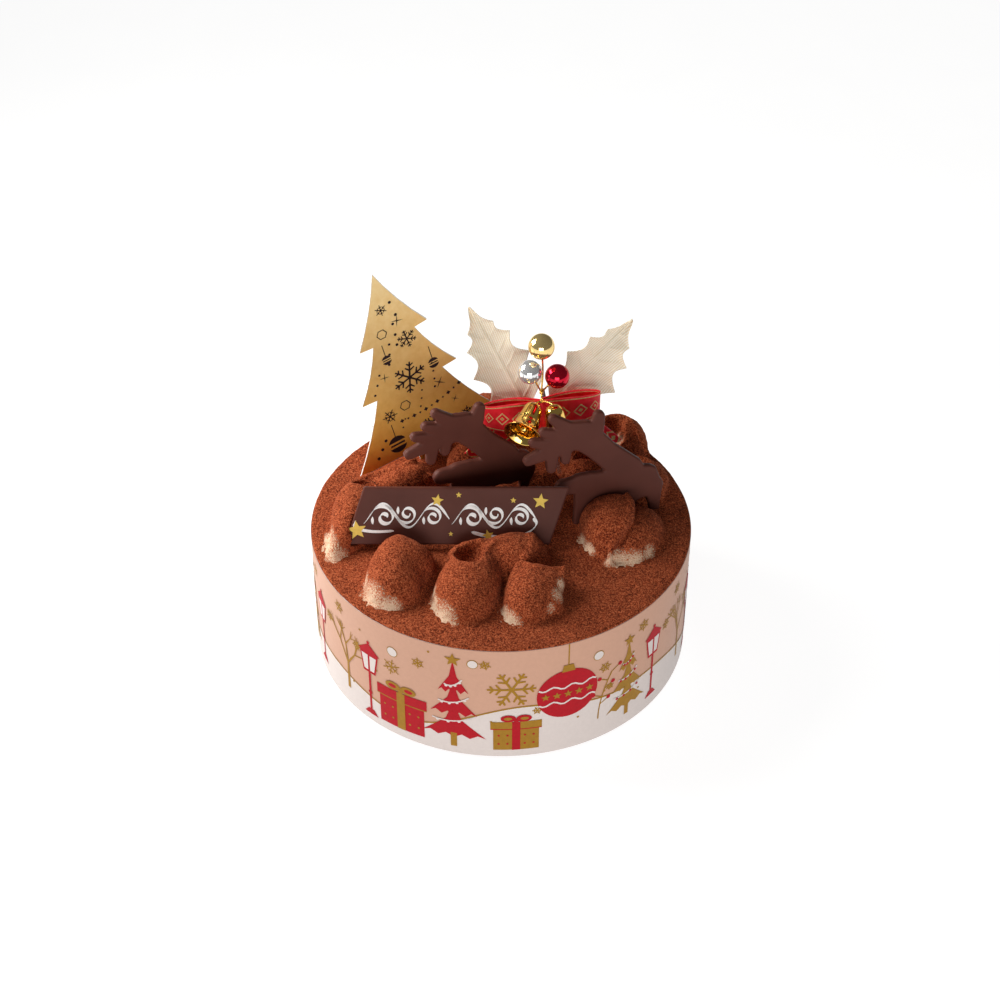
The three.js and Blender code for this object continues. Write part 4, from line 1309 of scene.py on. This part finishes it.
def make_dollop(name, recipe):
    low, high = room_for(recipe)
    points, low = grid_points(low, high, CREAM_STEP)
    field = soft_min(dollop_field(points, recipe), points[..., 2] - CREAM_BED, FOOT_MELT)
    field = soft_max(field, np.hypot(points[..., 0], points[..., 1]) - RIM_LINE, RIM_MELT)
    close = field < NEARBY
    field[close] = soft_max(field[close], PLATE_GAP - plates_nearby(points[close]), 0.3)
    for other_low, other_high, other in earlier:
        if np.all(other_low < high) and np.all(other_high > low):
            field[close] = np.maximum(field[close], DOLLOP_GAP - dollop_field(points[close], other))
    earlier.append((low, high, recipe))
    corners, quads = skin(field, low, CREAM_STEP)
    heights = corners[:, 2][quads]
    quads = quads[(heights > CREAM_BED + 0.015).any(axis=1) & (heights.mean(axis=1) > CREAM_BED - 0.9)]
    used, quads = np.unique(quads, return_inverse=True)
    corners, quads = corners[used], quads.reshape(-1, 4)
    cream = np.zeros(len(corners))
    for at, radius in recipe.get("cream", []):
        gap = np.linalg.norm(corners - np.array(at), axis=1)
        cream = np.maximum(cream, np.clip(1.25 - 0.6 * gap / radius, 0, 1))
    corners = corners + corner_normals(corners, quads) * powder_grain(corners)[:, None]
    piece = make_piece(f"cocoa_{name}", corners, quads, COCOA, "cocoa", [name])
    add_attribute(piece, "cream", cream)


for dollop, recipe in DOLLOPS.items():
    make_dollop(dollop, recipe)

# %% [markdown]
# ## The holly pick
# The leaves are two layers of gold cloth heat-pressed over a wire: the rib and the side veins stand
# up, the rim is sealed, and the sides are cupped. One sheet of points, close enough for the veins to
# be real relief, gives all of that.

# %% Holly leaves
LEAF_LENGTH = 36.0
LEAF_SPINES = [(0, 3), (0.15, 9.5), (0.42, 10.1), (0.655, 7.7), (0.8, 4.6), (1, 0.25)]


def leaf_half_width(along):
    k = next((i for i in range(1, len(LEAF_SPINES)) if LEAF_SPINES[i][0] >= along), len(LEAF_SPINES) - 1)
    (s0, w0), (s1, w1) = LEAF_SPINES[k - 1], LEAF_SPINES[k]
    t = (along - s0) / (s1 - s0)
    return (w0 + (w1 - w0) * t) * (1 - (0.3 * math.sin(math.pi * t) if k > 1 else 0))


def leaf_relief(x, y, half):
    """Height of the rib, the curved side veins and the sealed rim over the cloth."""
    edge = half - abs(x)
    rib = 0.55 * math.exp(-((x / (0.75 * (1 - 0.5 * y / LEAF_LENGTH))) ** 2))
    vein = 0.0
    for k in range(6):
        root = 1.5 + 5.6 * k
        on_vein = y - (root + 0.55 * abs(x) + 0.035 * x * x)
        fade = min(1.0, max(0.0, edge - 0.8) / 1.5)
        vein = max(vein, 0.28 * fade * math.exp(-((on_vein / 0.42) ** 2)))
    rim = 0.22 * math.exp(-(((edge - 0.55) / 0.38) ** 2))
    return max(rib, vein, rim)


def add_weave(piece, uvs):
    """The UV map, in millimetres, that the threads and the border follow."""
    layer = piece.data.uv_layers.new(name="weave")
    layer.data.foreach_set("uv", np.array(uvs)[[loop.vertex_index for loop in piece.data.loops]].ravel())


def make_leaf(name, at, roll, side, widths):
    rows, columns = 181, 73
    front, back = [], []
    for u in np.linspace(0, 1, rows):
        half, y = leaf_half_width(u), u * LEAF_LENGTH
        for across in np.linspace(-1, 1, columns):
            across = math.copysign(abs(across) ** 0.85, across)
            wide = half * widths[0 if across < 0 else 1]
            x, rise = across * wide, leaf_relief(across * wide, y, wide)
            ripple = side * 0.5 * math.sin(u * 5 * math.pi) * abs(across)
            z = 1.8 * across ** 2 - 2.4 * u * u + ripple
            front.append((x, y, z - 0.05 + rise))
            back.append((x, y, z - 0.45 + 0.8 * rise))
    count, face_net = len(front), net(rows, columns)
    number = np.arange(count).reshape(rows, columns)
    border = [*number[0, :-1], *number[:-1, -1], *number[-1, :0:-1], *number[:0:-1, 0]]
    rim = [(b, a, count + a, count + b) for a, b in zip(border, border[1:] + border[:1])]
    piece = make_piece(
        f"cloth_{name}", moved(standing(at, lean=15, roll=roll), front + back),
        face_net + turned_over(face_net, count) + rim, LEAF_CLOTH, "leaf", [name],
    )
    add_weave(piece, [point[:2] for point in front + back])


LEAVES_AT = [(7.4, 27, 71), (17.2, 27, 71.6)]
make_leaf("holly_leaf_left", LEAVES_AT[0], 29, 1, (1, 1.02))
make_leaf("holly_leaf_right", LEAVES_AT[1], -41.7, -1, (0.87, 1.19))


# %% Wires and the clear stick
def tube(path, radius, sides=12, rounds=0):
    """Corners and faces of a round wire along a path."""
    path = rounded_path(path, rounds)
    heading = np.gradient(path, axis=0)
    heading /= np.linalg.norm(heading, axis=1, keepdims=True)
    side = np.cross(heading[0], (0.31, 0.17, 0.93))
    corners = []
    for point, forward in zip(path, heading):
        side = side - forward * (side @ forward)
        side /= np.linalg.norm(side)
        other = np.cross(forward, side)
        corners += [point + radius * (math.cos(t) * side + math.sin(t) * other) for t in round_points(sides)]
    last = len(corners) - sides
    ends = [tuple(range(sides))[::-1], tuple(range(last, last + sides))]
    return corners, net(len(path), sides, wrap=True) + ends


def joined(parts):
    corners, faces = [], []
    for more_corners, more_faces in parts:
        start = len(corners)
        corners += list(map(tuple, more_corners))
        faces += [tuple(start + i for i in face) for face in more_faces]
    return corners, faces


STICK_FOOT, STICK_TOP, LEAF_JOINT = (21.4, 23.1, 33), (13, 23.1, 79), (14.8, 23.1, 69)
FORK, HOOK = np.array((12.6, 18.4, 81.4)), np.array((12.7, 16.4, 79.4))
BALLS = {
    "ball_gold": ((12.4, 18.5, 98.6), 4.1, [(13.1, 20.3, 88.5)], PALE_GOLD, "gold"),
    "ball_silver": ((8.9, 17.6, 89.7), 3.8, [], SILVER, "silver"),
    "ball_red": ((17.4, 17.6, 88.1), 3.85, [], RED_LACQUER, "red"),
}
BELLS = {
    "bell_left": ((10.6, 14.6, 79.2), (-0.34, -0.9, -0.27)),
    "bell_right": ((16.2, 12.4, 80.4), (0.16, -0.1, -0.98)),
}


def make_stick():
    stalks = [tube([STICK_FOOT, STICK_TOP], 0.7, 16)]
    for at in LEAVES_AT:
        stalks.append(tube([LEAF_JOINT, np.array(at) + (np.array(LEAF_JOINT) - at) * 0.16], 0.6))
    make_piece("pick_clear_stick", *joined(stalks), CLEAR, "clear", ["pick_stick"])


def make_wires():
    runs = []
    for at, radius, by, *_ in BALLS.values():
        runs.append(tube([FORK, *by, at], 0.3, rounds=2 if by else 0))
    for crown, aim in BELLS.values():
        above = np.array(crown) - 0.6 * np.array(aim) / np.linalg.norm(aim)
        sag = (HOOK + above) / 2 + np.array((0, 0, 0.3))
        runs.append(tube([HOOK, sag, above], 0.3, rounds=2))
    runs.append(tube([FORK, HOOK], 0.3))
    turns = np.linspace(0, 3.2 * math.tau, 52)
    coil = np.column_stack([0.42 * np.cos(turns), 0.42 * np.sin(turns), 0.22 * turns / math.tau - 0.35])
    runs += [tube(at + coil, 0.26, 8) for at in (FORK, HOOK)]
    make_piece("pick_gold_wires", *joined(runs), GOLD, "gold", ["pick_wires"])


make_stick()
make_wires()


# %% Balls and bells
def lathe(profile, sides=72):
    """Corners and faces of a form turned about z; profile is (radius, height), closed on the axis."""
    turns = round_points(sides)
    corners = [(r * math.cos(t), r * math.sin(t), height) for r, height in profile for t in turns]
    return corners, net(len(profile), sides, wrap=True)


def aimed(corners, axis, at):
    """Turns local z onto axis and moves the origin to at."""
    turn = np.array(Vector((0, 0, 1)).rotation_difference(Vector(axis).normalized()).to_matrix())
    return (np.array(corners) @ turn.T + np.array(at)).tolist()


def make_ball(name, at, radius, by, finish, slot):
    wire_from = np.array(by[-1] if by else FORK)
    turns = np.linspace(0, math.pi * 0.93, 34)
    profile = [(radius * math.sin(t) + 1e-4, -radius * math.cos(t)) for t in turns]
    top = profile[-1][1]
    profile += [(0.85, top + 0.05), (0.85, top + 0.45), (0.6, top + 0.6), (1e-4, top + 0.62)]
    corners, faces = lathe(profile)
    corners = aimed(corners, wire_from - np.array(at), at)
    make_piece(name.replace("ball_", "bauble_"), corners, faces, finish, slot, [name])


for name, recipe in BALLS.items():
    make_ball(name, *recipe)

BELL_OUTSIDE = [
    (0.25, 0.0), (1.4, 0.08), (2.2, 0.55), (2.75, 1.3), (3.0, 2.2), (3.12, 3.2), (3.3, 4.4), (3.6, 5.9),
    (3.72, 6.6), (3.74, 6.9), (3.68, 7.05), (3.86, 7.3), (4.05, 8.3), (4.32, 9.4), (4.72, 10.4), (5.25, 11.2),
    (5.7, 11.7), (5.9, 12.0),
]
CLAPPER = [
    (1e-4, 0.5), (0.25, 0.55), (0.25, 8.4), (0.9, 8.7), (1.3, 9.5), (1.2, 10.3), (0.6, 10.9), (1e-4, 11.0)
]


def make_bell(name, crown, aim):
    inside = [(max(r - 0.5, 1e-4), h + (0.55 if h < 11 else 0.12)) for r, h in BELL_OUTSIDE[::-1]]
    rim = [(5.86, 12.12), (5.68, 12.16)]
    bell = lathe([(1e-4, 0.0)] + BELL_OUTSIDE + rim + inside[1:] + [(1e-4, 0.58)], 96)
    corners, faces = joined([bell, lathe(CLAPPER, 32)])
    make_piece(f"gilt_{name}", aimed(corners, aim, crown), faces, GOLD, "gold", [name])


for name, recipe in BELLS.items():
    make_bell(name, *recipe)

# %% [markdown]
# ## The ribbon
# A strip of satin is folded into two loops, pinched by its own knot, with the cut ends pulled out
# below. It is drawn as sheets that curve the way the folded strip does, with pleats that fan out
# from the pinch, since simulated cloth would drift off the place where the solid is.

# %% Ribbon
KNOT_AT = np.array((12.4, 19.6, 71.3))
SATIN_THICK = 0.34
LOOPS = [(17.8, 178, -0.3), (18.7, 4, 4.6)]
TAIL_ENDS = [(-22, -2.6, -16.4), (24, -0.6, -12.4)]


def strip_of_cloth(place, along, across, size_mm=(60.0, 15.0)):
    """A closed thin sheet through place(u, v), with its UV map in millimetres."""
    us, vs = np.linspace(0, 1, along), np.linspace(0, 1, across)
    middle = np.array([[place(u, v) for v in vs] for u in us])
    normal = np.cross(np.gradient(middle, axis=0), np.gradient(middle, axis=1))
    normal /= np.linalg.norm(normal, axis=2, keepdims=True) + 1e-9
    count = along * across
    number = np.arange(count).reshape(along, across)
    front = turned_over(net(along, across))
    faces = front + [tuple(count + k for k in face[::-1]) for face in front]
    for line, flip in ((number[:, 0], -1), (number[:, -1], 1), (number[0], 1), (number[-1], -1)):
        faces += [(a, b, count + b, count + a)[::flip] for a, b in zip(line[:-1], line[1:])]
    half = normal * SATIN_THICK / 2
    corners = np.concatenate([middle + half, middle - half]).reshape(-1, 3)
    return corners, faces, [(u * size_mm[0], v * size_mm[1]) for u in us for v in vs] * 2


def loop_place(reach, heading, rise):
    turn = math.radians(heading)

    def place(u, v):
        angle = math.tau * (0.015 + 0.97 * u)
        share = (1 - math.cos(angle)) / 2
        wide = 2.2 * math.sin(angle) * (0.55 + 0.45 * share)
        width = 15 + (8 - 15) * share
        pinch = max(0.0, 1 - share / 0.55) ** 1.3
        wide += 0.45 * pinch * math.sin(v * 26 + 2.0) * math.sin(min(share * 9, 1.57))
        x, z = reach * share, (v - 0.5) * width * (1 - 0.16 * pinch) + rise * share
        forward = np.array((math.cos(turn), math.sin(turn), 0))
        aside = np.array((-math.sin(turn), math.cos(turn), 0))
        return KNOT_AT + x * forward + wide * aside + (0, 0, z)

    return place


def tail_place(end):
    def place(u, v):
        sag, aside = math.sin(math.pi * u), (v - 0.5) * 9
        notch = 2.2 * max(0.0, u - 0.9) / 0.1 * (1 - abs(2 * v - 1))
        point = np.array((
            (end[0] - math.copysign(notch, end[0])) * u + aside * math.copysign(0.45, end[0]),
            end[1] * u + 1.5 * sag + 0.25 * math.sin(v * 9) * (1 - u),
            end[2] * u + 2.5 * sag + aside * 0.8,
        ))
        return point + KNOT_AT

    return place


def knot():
    """The pinch in the middle, a small bundle of folds."""
    rows, columns, corners, uvs = 49, 40, [], []
    for lift in np.linspace(0, math.pi, rows):
        for turn in round_points(columns):
            fold = math.sin(lift) * (1 + 0.10 * math.sin(turn * 5 + 1.2 * math.cos(lift)))
            point = (3.2 * math.cos(turn) * fold, 2.4 * math.sin(turn) * fold, 6 * math.cos(lift))
            corners.append(KNOT_AT + point)
            uvs.append((turn * 3, lift * 6))
    return corners, [face[::-1] for face in net(rows, columns, wrap=True)], uvs


def make_ribbon():
    sheets = [strip_of_cloth(loop_place(*loop), 121, 25) for loop in LOOPS]
    sheets += [strip_of_cloth(tail_place(end), 61, 17, (26.0, 9.0)) for end in TAIL_ENDS]
    sheets.append(knot())
    corners, faces = joined([sheet[:2] for sheet in sheets])
    piece = make_piece("satin_ribbon_bow", corners, faces, RIBBON_SATIN, "ribbon", ["ribbon_bow"])
    add_weave(piece, [uv for sheet in sheets for uv in sheet[2]])


make_ribbon()

# %% [markdown]
# ## Light and ground
# The picture is a catalogue shot on white: a small soft window at the left and a little behind gives
# the cream its modelling, a weak broad panel from the front keeps the shaded sides readable, and the
# white ground is lit enough to vanish. A sky picture would tint the gold, so there is none.

# %% Ground
def make_floor():
    material = mottled(
        "white studio ground", (30.0,), (0.29,) * 3, (0.31,) * 3, Roughness=0.9, Specular_IOR_Level=0.1,
        Emission_Strength=0.9, Emission_Color=(1.0, 1.0, 1.0, 1.0),
    )
    mesh = bpy.data.meshes.new("studio_ground")
    mesh.from_pydata([(-3, -3, 0), (3, -3, 0), (3, 3, 0), (-3, 3, 0)], [], [(0, 1, 2, 3)])
    mesh.materials.append(material)
    ground = bpy.data.objects.new("studio_ground", mesh)
    ground.location.z = -0.0002
    bpy.context.scene.collection.objects.link(ground)


make_floor()


# %% Lamps and surroundings
def soft_panel(name, place_mm, aim_mm, width_mm, height_mm, watts, colour):
    lamp = bpy.data.lights.new(name, "AREA")
    lamp.shape = "RECTANGLE"
    lamp.size, lamp.size_y = width_mm * MM, height_mm * MM
    lamp.energy = watts
    lamp.color = colour
    panel = bpy.data.objects.new(name, lamp)
    panel.location = Vector(place_mm) * MM
    panel.rotation_euler = (Vector(aim_mm) - Vector(place_mm)).to_track_quat("-Z", "Y").to_euler()
    bpy.context.scene.collection.objects.link(panel)


soft_panel("key", (-240, 78, 224), (-15, 0, 48), 180, 180, 1.38, (1.0, 0.975, 0.94))
soft_panel("fill", (-40, -1000, 250), (0, 0, 60), 700, 420, 4.9, (1.0, 0.97, 0.94))
world = bpy.data.worlds.new("soft room")
bpy.context.scene.world = world
world.use_nodes = True
room = world.node_tree.nodes["Background"].inputs
room["Color"].default_value = (1.0, 0.99, 0.98, 1.0)
room["Strength"].default_value = 0.13
bpy.context.scene.view_settings.view_transform = "Standard"
bpy.context.scene.view_settings.look = "None"
